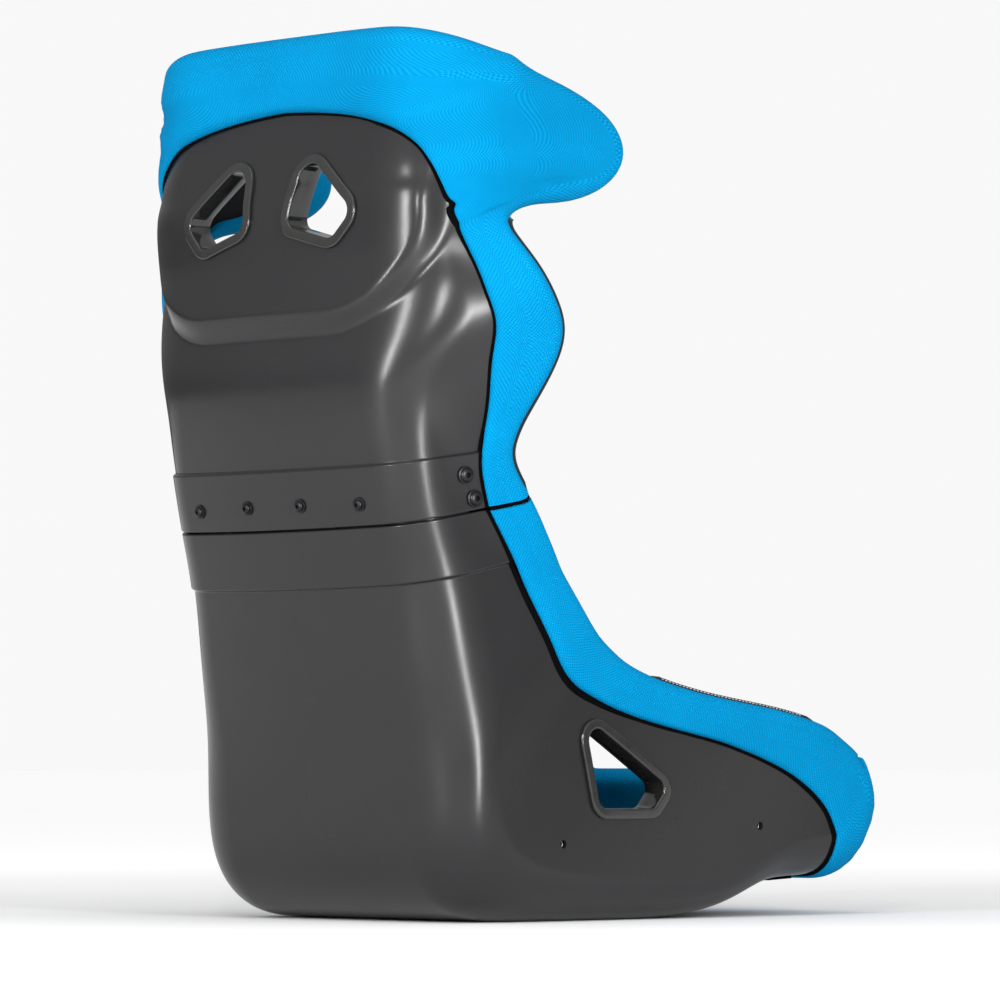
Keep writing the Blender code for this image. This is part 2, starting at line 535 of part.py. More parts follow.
# ---------------------------------------------------------------- fasteners
def turned(name, profile, centre, axis, mat, segments=16, socket=None, closed=False):
    """Turned part: (radius, height) profile round an axis, with an optional hexagon socket."""
    axis = unit(np.asarray(axis, float))
    u = unit(np.cross(axis, [0, 0, 1.0]))
    v = np.cross(axis, u)
    loops = []
    for i in range(segments):
        a = 2 * math.pi * (i + .5) / segments
        d = math.cos(a) * u + math.sin(a) * v
        loops.append([centre + r * d + h * axis for r, h in profile])
    ob = add(name, *tube(to_world(np.array(loops)), True), mat) if closed else spun(name, loops, centre, axis, profile, mat)
    if socket:
        af, depth, level = socket
        ring = [centre + af / math.sqrt(3) * (math.cos(q) * u + math.sin(q) * v) for q in np.arange(6) * math.pi / 3]
        w = to_world(np.array(ring))
        shift = to_world(centre + axis) - to_world(centre)
        cut(ob, prism('cut_' + name, w, shift * (level - depth), shift * (level + 5)))
    return ob


def spun(name, loops, centre, axis, profile, mat):
    """Solid of revolution whose profile runs from the axis out and back to the axis."""
    loops = np.array(loops)[:, 1:-1]
    m, k = loops.shape[:2]
    pts = list(loops.reshape(-1, 3)) + [centre + profile[0][1] * axis, centre + profile[-1][1] * axis]
    faces = [(i * k + j, i * k + j + 1, ((i + 1) % m) * k + j + 1, ((i + 1) % m) * k + j) for i in range(m) for j in range(k - 1)]
    faces += [(m * k, i * k, ((i + 1) % m) * k) for i in range(m)]
    faces += [(m * k + 1, ((i + 1) % m) * k + k - 1, i * k + k - 1) for i in range(m)]
    return add(name, to_world(np.array(pts)), faces, mat)


def hole(name, centre, axis, radius, targets, segments=12):
    axis = unit(np.asarray(axis, float))
    u = unit(np.cross(axis, [0, 0, 1.0]))
    v = np.cross(axis, u)
    ring = to_world(np.array([centre + radius * (math.cos(a) * u + math.sin(a) * v)
                              for a in (np.arange(segments) + .5) * 2 * math.pi / segments]))
    shift = to_world(centre + axis) - to_world(centre)
    c = prism(name, ring, -16 * shift, 8 * shift)
    for t in targets:
        cut(t, c)


for i in range(4):
    x = (i - 1.5) * BOLT_PITCH
    t, s = locate(abs(x), BOLT_Z, False)
    s = math.copysign(s, x)
    p, n = pos(t, s, 0), normal(t, np.array(s))
    tag = str(i + 1)
    turned('band_washer_' + tag, ((3.3, .5), (7.2, .5), (7.2, 1.9), (3.3, 1.9)), p, n, STEEL, 16, closed=True)
    turned('band_bolt_' + tag, ((0, 5.5), (2.6, 5.4), (4.6, 4.3), (5.4, 2.9), (5.4, 2.2), (2.9, 2.2), (2.9, -13.2), (0, -13.2)), p, n,
           STEEL, 12, socket=(4.0, 2.2, 5.5))
    turned('band_nut_' + tag, ((3.7, -9.7), (3.7, -13.0), (6.2, -13.0), (6.2, -9.7)), p, n, ZINC, 6, closed=True)
    hole('hole_band_' + tag, p, n, 3.3, (upper, splice))

for tag, sg in (('right', -1), ('left', 1)):
    for j, (f, z) in enumerate(SIDE_BOLTS):
        t, s = locate(f, z, True)
        s *= sg
        p, n = pos(t, s, 0), normal(t, np.array(s))
        name = tag + '_' + str(j + 1)
        turned('side_bolt_' + name, ((0, 6.4), (3.4, 6.3), (6.2, 5.0), (7.2, 3.2), (8.9, 2.2), (8.9, .8), (3.9, .8), (3.9, -13.6), (0, -13.6)),
               p, n, STEEL, 14, socket=(5.2, 3.0, 6.4))
        turned('side_nut_' + name, ((4.9, -9.5), (4.9, -13.2), (8.0, -13.2), (8.0, -9.5)), p, n, ZINC, 6, closed=True)
        hole('hole_side_' + name, p, n, 4.3, (upper, splice))
    for j, (f, z) in enumerate(SIDE_MOUNTS):
        t, s = locate(f, z, True)
        s *= sg
        p, n = pos(t, s, 0), normal(t, np.array(s))
        name = tag + '_' + ('rear', 'front')[j]
        turned('mount_insert_' + name, ((4.0, -TH - .7), (4.0, -TH - 4.9), (12.0, -TH - 4.9), (12.0, -TH - .7)), p, n, ZINC, 16, closed=True)
        hole('hole_mount_' + name, p, n, 4.4, (lower,))

# black strip that closes the cover under the front lip
tt, ss = np.meshgrid(at_k(np.linspace(3.5, 3.95, 3)), np.array([-.34, -.17, 0, .17, .34]), indexing='ij')
add('front_closing_strip', *slab(to_world(pos(tt, ss, 4.0)), to_world(pos(tt, ss, 1.6))), BLACK)
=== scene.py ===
"""Looks of the two-piece racing seat: laminate shells, padded trims, mesh-fabric cushions, bezels and
fasteners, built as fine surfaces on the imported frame. Lengths are millimetres until to_world."""
import bpy
import bmesh
import json
import math
import numpy as np
from mathutils import Matrix, Vector
from mathutils.bvhtree import BVHTree
from mathutils.kdtree import KDTree

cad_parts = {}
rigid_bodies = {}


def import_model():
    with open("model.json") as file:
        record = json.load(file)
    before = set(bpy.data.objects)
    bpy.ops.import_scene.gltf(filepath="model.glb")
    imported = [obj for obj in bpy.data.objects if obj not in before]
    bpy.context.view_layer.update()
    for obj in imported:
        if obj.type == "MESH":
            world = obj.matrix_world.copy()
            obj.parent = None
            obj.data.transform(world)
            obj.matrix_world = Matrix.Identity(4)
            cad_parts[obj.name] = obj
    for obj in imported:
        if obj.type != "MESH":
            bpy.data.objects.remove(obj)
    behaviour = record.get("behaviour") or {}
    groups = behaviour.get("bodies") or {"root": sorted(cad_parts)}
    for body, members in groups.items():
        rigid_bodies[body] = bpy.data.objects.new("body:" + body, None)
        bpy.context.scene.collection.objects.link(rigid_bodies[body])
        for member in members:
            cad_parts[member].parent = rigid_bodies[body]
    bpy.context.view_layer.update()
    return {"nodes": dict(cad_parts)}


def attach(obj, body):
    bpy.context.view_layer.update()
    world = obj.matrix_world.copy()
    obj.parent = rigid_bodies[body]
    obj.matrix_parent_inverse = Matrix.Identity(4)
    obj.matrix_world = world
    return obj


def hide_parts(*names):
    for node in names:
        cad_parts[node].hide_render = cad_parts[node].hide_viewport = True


for _old in list(bpy.data.objects):
    bpy.data.objects.remove(_old, do_unlink=True)
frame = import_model()

# ---------------------------------------------------------------- driving dimensions (mm)
F_MID = 330.12            # distance from the back plane to the middle of the seat's depth
TH = 5.0                 # laminate thickness
GAP = 1.2                # clearance between a trim's slot and the laminate
SEAM_HALF = 1.1          # half of the open joint between the two shells
JOGGLE = 3.2             # how far the two bands stand proud
HUNCH = 14.0             # height of the panel behind the shoulders
BOLT_PITCH, BOLT_Z = 78.5, 418.0
SIDE_BOLTS = ((75.0, 447.0), (87.0, 424.0))
SIDE_MOUNTS = ((206.0, 77.0), (496.0, 95.0))
BEZEL_W, BEZEL_H, TUNNEL = 11.0, 4.0, 24.0
SHOULDER_HOLE = ((44.0, 776.0), (122.0, 711.0), (95.0, 683.0), (33.0, 700.0))
LAP_HOLE = ((236.0, 207.0), (353.0, 136.0), (334.0, 114.0), (257.0, 114.0))
CROTCH_SLOT = (330.0, 0.0, 62.0, 24.0)   # centre f, x, width across, depth front to back

# spine (f, z), rim (f, z), half width at the corner, corner radius, rim half width, crown
STATIONS = np.array([
    (662, 143, 645, 160, 208, 21, 207, 0), (675, 114, 632, 167, 210, 36, 208, 0),
    (676, 78, 620, 173, 211, 44, 208, 0), (642, 49, 608, 179, 210, 44, 208, 0),
    (560, 40, 588, 187, 208, 42, 209, 0), (480, 16, 530, 199, 206, 42, 210, 0),
    (400, 2, 460, 208, 205, 42, 210, 0), (330, 0, 400, 217, 205, 44, 208, 0),
    (260, 0, 345, 229, 205, 48, 206, 0), (200, 0, 310, 240, 205, 54, 204, 0),
    (150, 1, 285, 252, 205, 62, 202, 0), (108, 9, 268, 264, 205, 70, 201, 0),
    (76, 30, 254, 275, 205, 76, 200, .0001), (60, 62, 243, 286, 205, 80, 200, .0002),
    (54, 105, 234, 297, 205, 80, 200, .0003), (48, 163, 224, 310, 204, 80, 200, .0004),
    (35, 235, 210, 328, 201, 75, 200, .0005), (20, 335, 180, 370, 195, 66, 200, .0005),
    (5, 394, 145, 422, 190, 60, 203, .0005), (-8, 454, 114, 474, 190, 60, 206, .0005),
    (-14, 480, 116, 500, 192, 66, 218, .0005), (-20, 515, 123, 536, 200, 80, 240, .0005),
    (-22, 550, 131, 570, 218, 100, 256, .0005), (-18, 580, 130, 594, 236, 116, 263, .0005),
    (-13, 610, 114, 618, 246, 124, 267, .0005), (-8, 640, 99, 641, 248, 124, 265, .0005),
    (-4, 664, 86, 664, 244, 120, 255, .0005), (-2, 686, 76, 688, 237, 110, 241, .0004),
    (0, 706, 88, 709, 230, 96, 230, .0003), (2, 724, 138, 733, 226, 90, 227, .0002),
    (5, 742, 222, 751, 223, 88, 223, .0001), (7, 762, 257, 775, 221, 86, 220, 0),
    (9, 782, 248, 798, 219, 86, 219, 0), (11, 802, 218, 816, 218, 86, 218, 0),
    (13, 822, 184, 828, 217, 86, 217, 0), (15, 842, 154, 836, 215, 80, 215, 0),
    (17, 858, 129, 844, 213, 76, 213, 0), (20, 874, 108, 852, 211, 72, 211, 0)], float)
SEAM, TOP = 18, 37
W1, W2 = 0.36, 0.70      # shares of the half section: crown, corner, side wall

# rim station, rim share -> station and share of the trim's outer edge, then
# outer thickness, crest height, inner thickness, inner reach
UPPER_EDGE = np.array([
    (18.015, 1, 18.015, .850, 6, 12, 7, 12), (18.7, 1, 18.67, .884, 6, 12, 7, 12),
    (19.3, 1, 19.2, .903, 6, 12, 7, 12), (20, 1, 19.98, .908, 7, 12, 7, 12),
    (20.8, 1, 20.8, .888, 8, 12, 7, 12), (22, 1, 22, .838, 9, 12, 7, 12),
    (23.2, 1, 23.2, .779, 9, 12, 7, 12), (24.4, 1, 24.4, .781, 9, 12, 7, 12),
    (25.6, 1, 25.6, .80, 9, 12, 7, 12), (26.6, 1, 26.45, .805, 9, 11, 7, 12),
    (27.6, 1, 27.05, .735, 8, 11, 8, 14), (28.4, 1, 27.6, .665, 8, 12, 9, 18),
    (29, 1, 28.1, .60, 8, 14, 12, 28), (29.6, 1, 28.65, .555, 9, 16, 16, 42),
    (30, 1, 29.3, .533, 11, 17, 18, 55), (30.5, 1, 29.9, .53, 13, 17, 18, 55),
    (31, 1, 30.5, .52, 16, 17, 18, 55), (31.5, 1, 30.9, .51, 16, 17, 18, 52),
    (32, 1, 31.2, .50, 16, 17, 18, 50), (33, 1, 31.6, .483, 16, 17, 18, 46),
    (34, 1, 31.9, .465, 16, 18, 18, 42), (35, 1, 32.2, .445, 16, 18, 18, 38),
    (36, 1, 32.4, .425, 19, 16, 17, 34), (36.6, 1, 32.55, .41, 21, 14, 16, 32),
    (37, 1, 32.7, .39, 22, 13, 15, 30), (37, .85, 32.85, .37, 22, 13, 14, 26),
    (37, .7, 33.0, .34, 20, 15, 13, 22), (37, .55, 33.2, .30, 18, 18, 12, 18),
    (37, .4, 33.4, .24, 17, 21, 12, 16), (37, .25, 33.6, .16, 16, 23, 12, 14),
    (37, .1, 33.75, .07, 16, 23, 12, 13), (37, 0, 33.8, 0, 16, 23, 12, 13)], float)
LOWER_EDGE = np.array([
    (17.985, 1, 17.985, .848, 6, 12, 7, 12), (17, 1, 16.95, .862, 8, 12, 7, 12),
    (16.3, 1, 16.32, .88, 9, 13, 7, 12), (15, 1, 15.07, .905, 9, 14, 7, 11),
    (12.75, 1, 12.75, .93, 9, 15, 7, 10), (11, 1, 11.08, .945, 9, 15, 7, 10),
    (9.4, 1, 9.38, .953, 9, 16, 7, 9), (7, 1, 7.06, .955, 9, 16, 7, 9),
    (6, 1, 6.2, .95, 9, 16, 7, 9), (5, 1, 5.37, .93, 9, 15, 7, 10),
    (4, 1, 4.6, .895, 9, 14, 8, 14), (3, 1, 3.9, .83, 9, 14, 10, 24),
    (2, 1, 3.52, .782, 9, 13, 12, 40), (1, 1, 3.38, .73, 9, 13, 13, 58),
    (0, 1, 3.31, .689, 9, 13, 14, 66), (0, .85, 3.34, .64, 9, 13, 14, 66),
    (0, .7, 3.36, .60, 9, 13, 14, 66), (0, .5, 3.36, .5, 9, 13, 14, 66),
    (0, .25, 3.36, .25, 9, 13, 14, 66), (0, 0, 3.36, 0, 9, 13, 14, 66)], float)


# ---------------------------------------------------------------- base surface
def natural_spline(x, y):
    n, h = len(x), np.diff(x)
    a, b = np.zeros((n, n)), np.zeros((n,) + y.shape[1:])
    a[0, 0] = a[-1, -1] = 1
    for i in range(1, n - 1):
        a[i, i - 1], a[i, i], a[i, i + 1] = h[i - 1], 2 * (h[i - 1] + h[i]), h[i]
        b[i] = 6 * ((y[i + 1] - y[i]) / h[i] - (y[i] - y[i - 1]) / h[i - 1])
    m = np.linalg.solve(a, b)

    def at(t):
        i = np.clip(np.searchsorted(x, t) - 1, 0, n - 2)
        u, v, w = (x[i + 1] - t) / h[i], (t - x[i]) / h[i], h[i] ** 2 / 6
        return (u[:, None] * y[i] + v[:, None] * y[i + 1]
                + ((u ** 3 - u) * w)[:, None] * m[i] + ((v ** 3 - v) * w)[:, None] * m[i + 1])
    return at


def smoothed(table, n):
    k = np.exp(-0.5 * (np.arange(-3 * n, 3 * n + 1) / n) ** 2)
    k /= k.sum()
    ext = np.concatenate([2 * table[:1] - table[1:3 * n + 1][::-1], table,
                          2 * table[-1:] - table[-3 * n - 1:-1][::-1]])
    return np.stack([np.convolve(ext[:, j], k, 'valid') for j in range(table.shape[1])], 1)


TK = np.concatenate([[0], np.cumsum(
    0.5 * (np.hypot(*np.diff(STATIONS[:, 0:2], axis=0).T) + np.hypot(*np.diff(STATIONS[:, 2:4], axis=0).T)))])
TD = np.linspace(0, TK[-1], 1201)
TABLE = smoothed(natural_spline(TK, STATIONS)(TD), 8)
TABLE[:, 1] = np.maximum(TABLE[:, 1], 0)


def at_k(k):
    return np.interp(k, np.arange(len(TK)), TK)


def smoothstep(a, b, v):
    s = np.clip((v - a) / (b - a), 0, 1)
    return s * s * s * (s * (6 * s - 15) + 10)


def base(t, s):
    t, s = np.broadcast_arrays(np.asarray(t, float), np.asarray(s, float))
    w = np.abs(s)
    pf, pz, qf, qz, wc, r, wq, c = [np.interp(t, TD, TABLE[:, j]) for j in range(8)]
    hh = np.hypot(qf - pf, qz - pz)
    ef, ez = (qf - pf) / hh, (qz - pz) / hh
    x1 = wc - r
    for _ in range(4):
        th0 = np.arctan(2 * c * x1)
        x1 = wc - r * (1 - np.sin(th0))
    h1 = c * x1 * x1
    ox, oh = x1 - r * np.sin(th0), h1 + r * np.cos(th0)
    vx, vh = wq - ox, hh - oh
    th1 = np.arctan2(vh, vx) - np.arccos(r / np.maximum(np.hypot(vx, vh), r * 1.0001)) + np.pi / 2
    u1 = np.clip(w / W1, 0, 1)
    th = th0 + (th1 - th0) * np.clip((w - W1) / (W2 - W1), 0, 1)
    u3 = np.maximum(w - W2, 0) / (1 - W2)
    xt, ht = ox + r * np.sin(th1), oh - r * np.cos(th1)
    x = np.where(w <= W1, u1 * x1, np.where(w <= W2, ox + r * np.sin(th), xt + (wq - xt) * u3))
    h = np.where(w <= W1, c * (u1 * x1) ** 2, np.where(w <= W2, oh - r * np.cos(th), ht + (hh - ht) * u3))
    return np.stack([np.where(s < 0, -x, x), pf + ef * h, pz + ez * h], -1)


def unit(v):
    return v / np.maximum(np.linalg.norm(v, axis=-1, keepdims=True), 1e-12)


def normal(t, s):
    s = np.where(np.abs(s) < 0.002, 0.002, s)
    dt = base(np.minimum(t + 1.5, TK[-1]), s) - base(np.maximum(t - 1.5, 0), s)
    ds = base(t, s + 0.004) - base(t, s - 0.004)
    return unit(np.cross(ds, dt))


def lift(t, s, ease=2.0):
    """Relief of the outer face: the panel behind the shoulders and the two joint bands."""
    p = base(t, s)
    ax, z = np.abs(p[..., 0]), p[..., 2]
    qx, qz = ax - 87.0, 707.0 - z
    d = np.where((qx > 0) & (qz > 0), np.hypot(qx, qz) - 110, np.maximum(qx, qz) - 110)
    hunch = HUNCH * (1 - smoothstep(-16, 16, d)) * (1 - smoothstep(690, 835, z))
    hunch = np.where(t > at_k(21), hunch, 0)
    band = (smoothstep(at_k(17) - 2 - 8 * (ease - 2), at_k(17) + 4 - ease, t)
            * (1 - smoothstep(at_k(19) - 4 + ease, at_k(19) + 2 + 8 * (ease - 2), t)))
    return hunch + JOGGLE * band


def pos(t, s, n, relief=1.0, ease=2.0):
    """Point on the seat: station t, share s of the half section, n outwards from the laminate's face."""
    t, s, n = np.broadcast_arrays(*[np.asarray(v, float) for v in (t, s, n)])
    return base(t, s) + (n + relief * lift(t, s, ease))[..., None] * normal(t, s)


SEARCH = np.meshgrid(np.linspace(0, TK[-1], 700), np.linspace(0.005, 1, 240), indexing='ij')
SEARCH = [*SEARCH, base(*SEARCH)]


def locate(a, z, side):
    """(t, s) whose base point has this z and this x (back) or this f (side wall)."""
    tt, ww, p = SEARCH
    d = (p[..., 2] - z) ** 2 + (p[..., 1 if side else 0] - a) ** 2
    if side:
        d = d + np.where(ww < 0.55, 1e6, 0)
    else:
        d = d + np.where((ww > 0.6) | (tt < at_k(13)), 1e6, 0)
    i = np.unravel_index(d.argmin(), d.shape)
    return tt[i], ww[i]



# ---------------------------------------------------------------- mesh building
def to_world(p):
    """x, f, z in mm to the world in metres."""
    p = np.asarray(p, float)
    return np.stack([p[..., 0], F_MID - p[..., 1], p[..., 2]], -1) / 1000


def volume(pts, faces):
    total = 0.0
    for f in faces:
        f = np.asarray(f)
        for k in range(1, f.shape[1] - 1):
            a, b, c = pts[f[:, 0]], pts[f[:, k]], pts[f[:, k + 1]]
            total += (a * np.cross(b, c)).sum()
    return total / 6


def build(name, pts, faces, mat, uv=None, smooth=38.0, caps=()):
    """Mesh object from world points and a list of face arrays (n x 3 or n x 4); uv is one pair per vertex."""
    pts = np.asarray(pts, float).reshape(-1, 3)
    faces = [np.asarray(f, np.int64) for f in faces if len(f)]
    if volume(pts - pts.mean(0), faces) < 0:
        faces = [f[:, ::-1] for f in faces]
        caps = [c[::-1] for c in caps]
    faces = faces + [np.asarray([c], np.int64) for c in caps]
    sizes = np.concatenate([np.full(len(f), f.shape[1]) for f in faces])
    loops = np.concatenate([f.ravel() for f in faces])
    me = bpy.data.meshes.new(name)
    me.vertices.add(len(pts))
    me.vertices.foreach_set('co', pts.astype(np.float32).ravel())
    me.loops.add(len(loops))
    me.loops.foreach_set('vertex_index', loops.astype(np.int32))
    me.polygons.add(len(sizes))
    me.polygons.foreach_set('loop_start', np.concatenate([[0], np.cumsum(sizes)[:-1]]).astype(np.int32))
    me.update(calc_edges=True)
    if uv is not None:
        layer = me.uv_layers.new(name='surface')
        layer.data.foreach_set('uv', np.asarray(uv, np.float32).reshape(-1, 2)[loops].ravel())
    me.validate()
    ob = bpy.data.objects.new(name, me)
    bpy.context.scene.collection.objects.link(ob)
    if mat:
        me.materials.append(mat)
    me.shade_smooth()
    if smooth:
        me.set_sharp_from_angle(angle=math.radians(smooth))
    return ob


def grid_quads(r, c, start=0):
    g = np.arange(r * c).reshape(r, c) + start
    return np.stack([g[:-1, :-1], g[:-1, 1:], g[1:, 1:], g[1:, :-1]], -1).reshape(-1, 4)


def slab(name, outer, inner, mat, uv=None, smooth=38.0):
    """Closed body between two grids of seat points."""
    r, c = outer.shape[:2]
    g = np.arange(r * c).reshape(r, c)
    h = g + r * c
    ring = np.concatenate([g[0, :-1], g[:-1, -1], g[-1, :0:-1], g[:0:-1, 0]])
    nxt = np.roll(ring, -1)
    side = np.stack([ring, ring + r * c, nxt + r * c, nxt], -1)
    pts = to_world(np.concatenate([outer.reshape(-1, 3), inner.reshape(-1, 3)]))
    if uv is not None:
        uv = np.concatenate([uv.reshape(-1, 2)] * 2)
    return build(name, pts, [grid_quads(r, c), grid_quads(r, c, r * c)[:, ::-1], side], mat, uv, smooth)


def tube(name, loops, mat, closed=False, uv=None, smooth=38.0, world=False):
    """Body swept through loops of equal length."""
    m, k = loops.shape[:2]
    i = np.arange(m if closed else m - 1)[:, None] * k
    j = np.arange(k)[None]
    nxt = (i + k) % (m * k)
    q = np.stack(np.broadcast_arrays(i + j, i + (j + 1) % k, nxt + (j + 1) % k, nxt + j), -1).reshape(-1, 4)
    caps = () if closed else (list(range(k))[::-1], list(range((m - 1) * k, m * k)))
    pts = loops.reshape(-1, 3) if world else to_world(loops.reshape(-1, 3))
    return build(name, pts, [q], mat, uv, smooth, caps)


def seat_piece(ob, nodes, body='seat'):
    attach(ob, body)
    if nodes:
        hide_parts(*nodes)
    return ob


def surface_uv(t, s, n=0.0):
    """Metres along the spine and across the section, for patterns that follow the surface."""
    girth = 470.0
    return np.stack([np.broadcast_to(s * girth, t.shape) / 1000, t / 1000], -1)


# ---------------------------------------------------------------- materials
def new_material(name):
    m = bpy.data.materials.new(name)
    m.use_nodes = True
    nt = m.node_tree
    return m, nt, nt.nodes['Principled BSDF']


def node(nt, kind, **values):
    n = nt.nodes.new(kind)
    for key, v in values.items():
        if hasattr(n, key):
            setattr(n, key, v)
        else:
            n.inputs[key].default_value = v
    return n


def math_node(nt, op, a, b=None, clamp=False):
    n = nt.nodes.new('ShaderNodeMath')
    n.operation, n.use_clamp = op, clamp
    for i, v in enumerate((a, b)):
        if v is None:
            continue
        if isinstance(v, (int, float)):
            n.inputs[i].default_value = v
        else:
            nt.links.new(v, n.inputs[i])
    return n.outputs[0]


def mix_colour(nt, fac, a, b):
    n = nt.nodes.new('ShaderNodeMix')
    n.data_type = 'RGBA'
    nt.links.new(fac, n.inputs[0])
    for i, v in ((6, a), (7, b)):
        if isinstance(v, tuple):
            n.inputs[i].default_value = (*v, 1)
        else:
            nt.links.new(v, n.inputs[i])
    return n.outputs[2]


def map_range(nt, v, a, b, c, d):
    n = nt.nodes.new('ShaderNodeMapRange')
    nt.links.new(v, n.inputs[0])
    for i, x in zip((1, 2, 3, 4), (a, b, c, d)):
        n.inputs[i].default_value = x
    return n.outputs[0]


def noise(nt, scale, detail=3.0, source=None, rough=.5):
    n = node(nt, 'ShaderNodeTexNoise')
    n.inputs['Scale'].default_value = scale
    n.inputs['Detail'].default_value = detail
    n.inputs['Roughness'].default_value = rough
    nt.links.new(source, n.inputs['Vector'])
    return n.outputs['Fac']


def object_coords(nt):
    return nt.nodes.new('ShaderNodeTexCoord').outputs['Object']


def fabric(name, dark, light, pitch=3.5, bump=.35, sheen=.25, sheen_tint=(1, 1, 1), spec=.18):
    """Knitted spacer mesh: raised loops on a diagonal lattice, with fine yarn fuzz; the hollows between the loops are
    painted darker as shade, under a random cloudy tone.
    """
    m, nt, b = new_material(name)
    uv = nt.nodes.new('ShaderNodeUVMap')
    uv.uv_map = 'surface'
    sep = nt.nodes.new('ShaderNodeSeparateXYZ')
    nt.links.new(uv.outputs[0], sep.inputs[0])
    w = 2 * math.pi / (pitch / 1000)
    sx = math_node(nt, 'SINE', math_node(nt, 'MULTIPLY', sep.outputs[0], w))
    sy = math_node(nt, 'SINE', math_node(nt, 'MULTIPLY', sep.outputs[1], w))
    loops_ = math_node(nt, 'MULTIPLY', sx, sy)
    oc = object_coords(nt)
    fuzz = noise(nt, 1400.0, 2.0, oc)
    cloudy = noise(nt, 9.0, 3.0, oc)
    h = math_node(nt, 'ADD', loops_, math_node(nt, 'MULTIPLY', math_node(nt, 'SUBTRACT', fuzz, .5), .7))
    # painted shade: the base colour darkens with the knit's height, so the hollows read as shaded recesses; the cloudy
    # term below is random tone
    painted_hollow_shade = map_range(nt, h, -.9, .9, 0, 1)
    shade = math_node(nt, 'ADD', painted_hollow_shade, map_range(nt, cloudy, .3, .7, -.10, .10), clamp=True)
    nt.links.new(mix_colour(nt, shade, dark, light), b.inputs['Base Color'])
    nt.links.new(map_range(nt, h, -1, 1, .95, .78), b.inputs['Roughness'])
    b.inputs['Sheen Weight'].default_value = sheen
    b.inputs['Sheen Roughness'].default_value = .45
    b.inputs['Sheen Tint'].default_value = (*sheen_tint, 1)
    b.inputs['Specular IOR Level'].default_value = spec
    bp = nt.nodes.new('ShaderNodeBump')
    bp.inputs['Strength'].default_value = bump
    bp.inputs['Distance'].default_value = .0006
    nt.links.new(h, bp.inputs['Height'])
    nt.links.new(bp.outputs[0], b.inputs['Normal'])
    return m


def laminate(name, colour, rough=.22):
    """Satin gelcoat over glass laminate: faint orange peel, slow print-through, rougher patches and handling marks."""
    m, nt, b = new_material(name)
    oc = object_coords(nt)
    slow, mid, fine = noise(nt, 5.0, 3.0, oc), noise(nt, 38.0, 4.0, oc), noise(nt, 420.0, 2.0, oc)
    shade = math_node(nt, 'ADD', map_range(nt, slow, .25, .75, .0, .7), map_range(nt, mid, .3, .7, 0, .3), clamp=True)
    nt.links.new(mix_colour(nt, shade, tuple(.95 * c for c in colour), tuple(1.05 * c for c in colour)), b.inputs['Base Color'])
    scuff = map_range(nt, noise(nt, 16.0, 6.0, oc, .62), .45, .8, 0, .03)
    nt.links.new(math_node(nt, 'ADD', math_node(nt, 'ADD', map_range(nt, fine, .2, .8, rough - .01, rough + .01), scuff),
                           map_range(nt, slow, .3, .7, -.008, .008)), b.inputs['Roughness'])
    b.inputs['Specular IOR Level'].default_value = .38
    bp = nt.nodes.new('ShaderNodeBump')
    bp.inputs['Strength'].default_value = .06
    bp.inputs['Distance'].default_value = .0004
    height = math_node(nt, 'ADD', math_node(nt, 'MULTIPLY', noise(nt, 150.0, 2.0, oc), .6), math_node(nt, 'MULTIPLY', fine, .25))
    nt.links.new(height, bp.inputs['Height'])
    nt.links.new(bp.outputs[0], b.inputs['Normal'])
    return m


def plastic(name, colour, rough, bump=.12, scale=900.0, metallic=0.0, coat=0.0):
    """Moulded or coated surface with a fine grain and slight wear."""
    m, nt, b = new_material(name)
    oc = object_coords(nt)
    grain, wear = noise(nt, scale, 3.0, oc), noise(nt, 60.0, 5.0, oc, .6)
    nt.links.new(mix_colour(nt, map_range(nt, wear, .3, .75, 0, 1), tuple(.85 * c for c in colour), tuple(1.25 * c for c in colour)),
                 b.inputs['Base Color'])
    nt.links.new(math_node(nt, 'ADD', map_range(nt, wear, .35, .8, rough - .03, rough + .07), map_range(nt, grain, .3, .7, -.02, .02)),
                 b.inputs['Roughness'])
    b.inputs['Metallic'].default_value = metallic
    b.inputs['Coat Weight'].default_value = coat
    b.inputs['Coat Roughness'].default_value = .08
    bp = nt.nodes.new('ShaderNodeBump')
    bp.inputs['Strength'].default_value = bump
    bp.inputs['Distance'].default_value = .0002
    nt.links.new(grain, bp.inputs['Height'])
    nt.links.new(bp.outputs[0], b.inputs['Normal'])
    return m


def thread(name, colour):
    """Twisted polyester sewing thread."""
    m, nt, b = new_material(name)
    oc = object_coords(nt)
    ply = noise(nt, 2600.0, 2.0, oc)
    nt.links.new(mix_colour(nt, map_range(nt, ply, .3, .7, 0, 1), tuple(.7 * c for c in colour), tuple(min(1, 1.15 * c) for c in colour)),
                 b.inputs['Base Color'])
    nt.links.new(map_range(nt, ply, .3, .7, .5, .75), b.inputs['Roughness'])
    b.inputs['Sheen Weight'].default_value = .2
    bp = nt.nodes.new('ShaderNodeBump')
    bp.inputs['Strength'].default_value = .4
    bp.inputs['Distance'].default_value = .0002
    nt.links.new(ply, bp.inputs['Height'])
    nt.links.new(bp.outputs[0], b.inputs['Normal'])
    return m


BLUE = fabric('blue_mesh_fabric', (.0001, .148, .33), (.0002, .268, .55), pitch=3.5, bump=.5, sheen=.0, sheen_tint=(.1, .7, 1), spec=.04)
BLACK = fabric('black_mesh_fabric', (.004, .004, .005), (.022, .022, .024), pitch=3.0, bump=.6, sheen=.18, sheen_tint=(.6, .6, .65))
LINING = fabric('black_lining_knit', (.004, .004, .005), (.014, .014, .016), pitch=2.2, bump=.4, sheen=.12, sheen_tint=(.6, .6, .65))
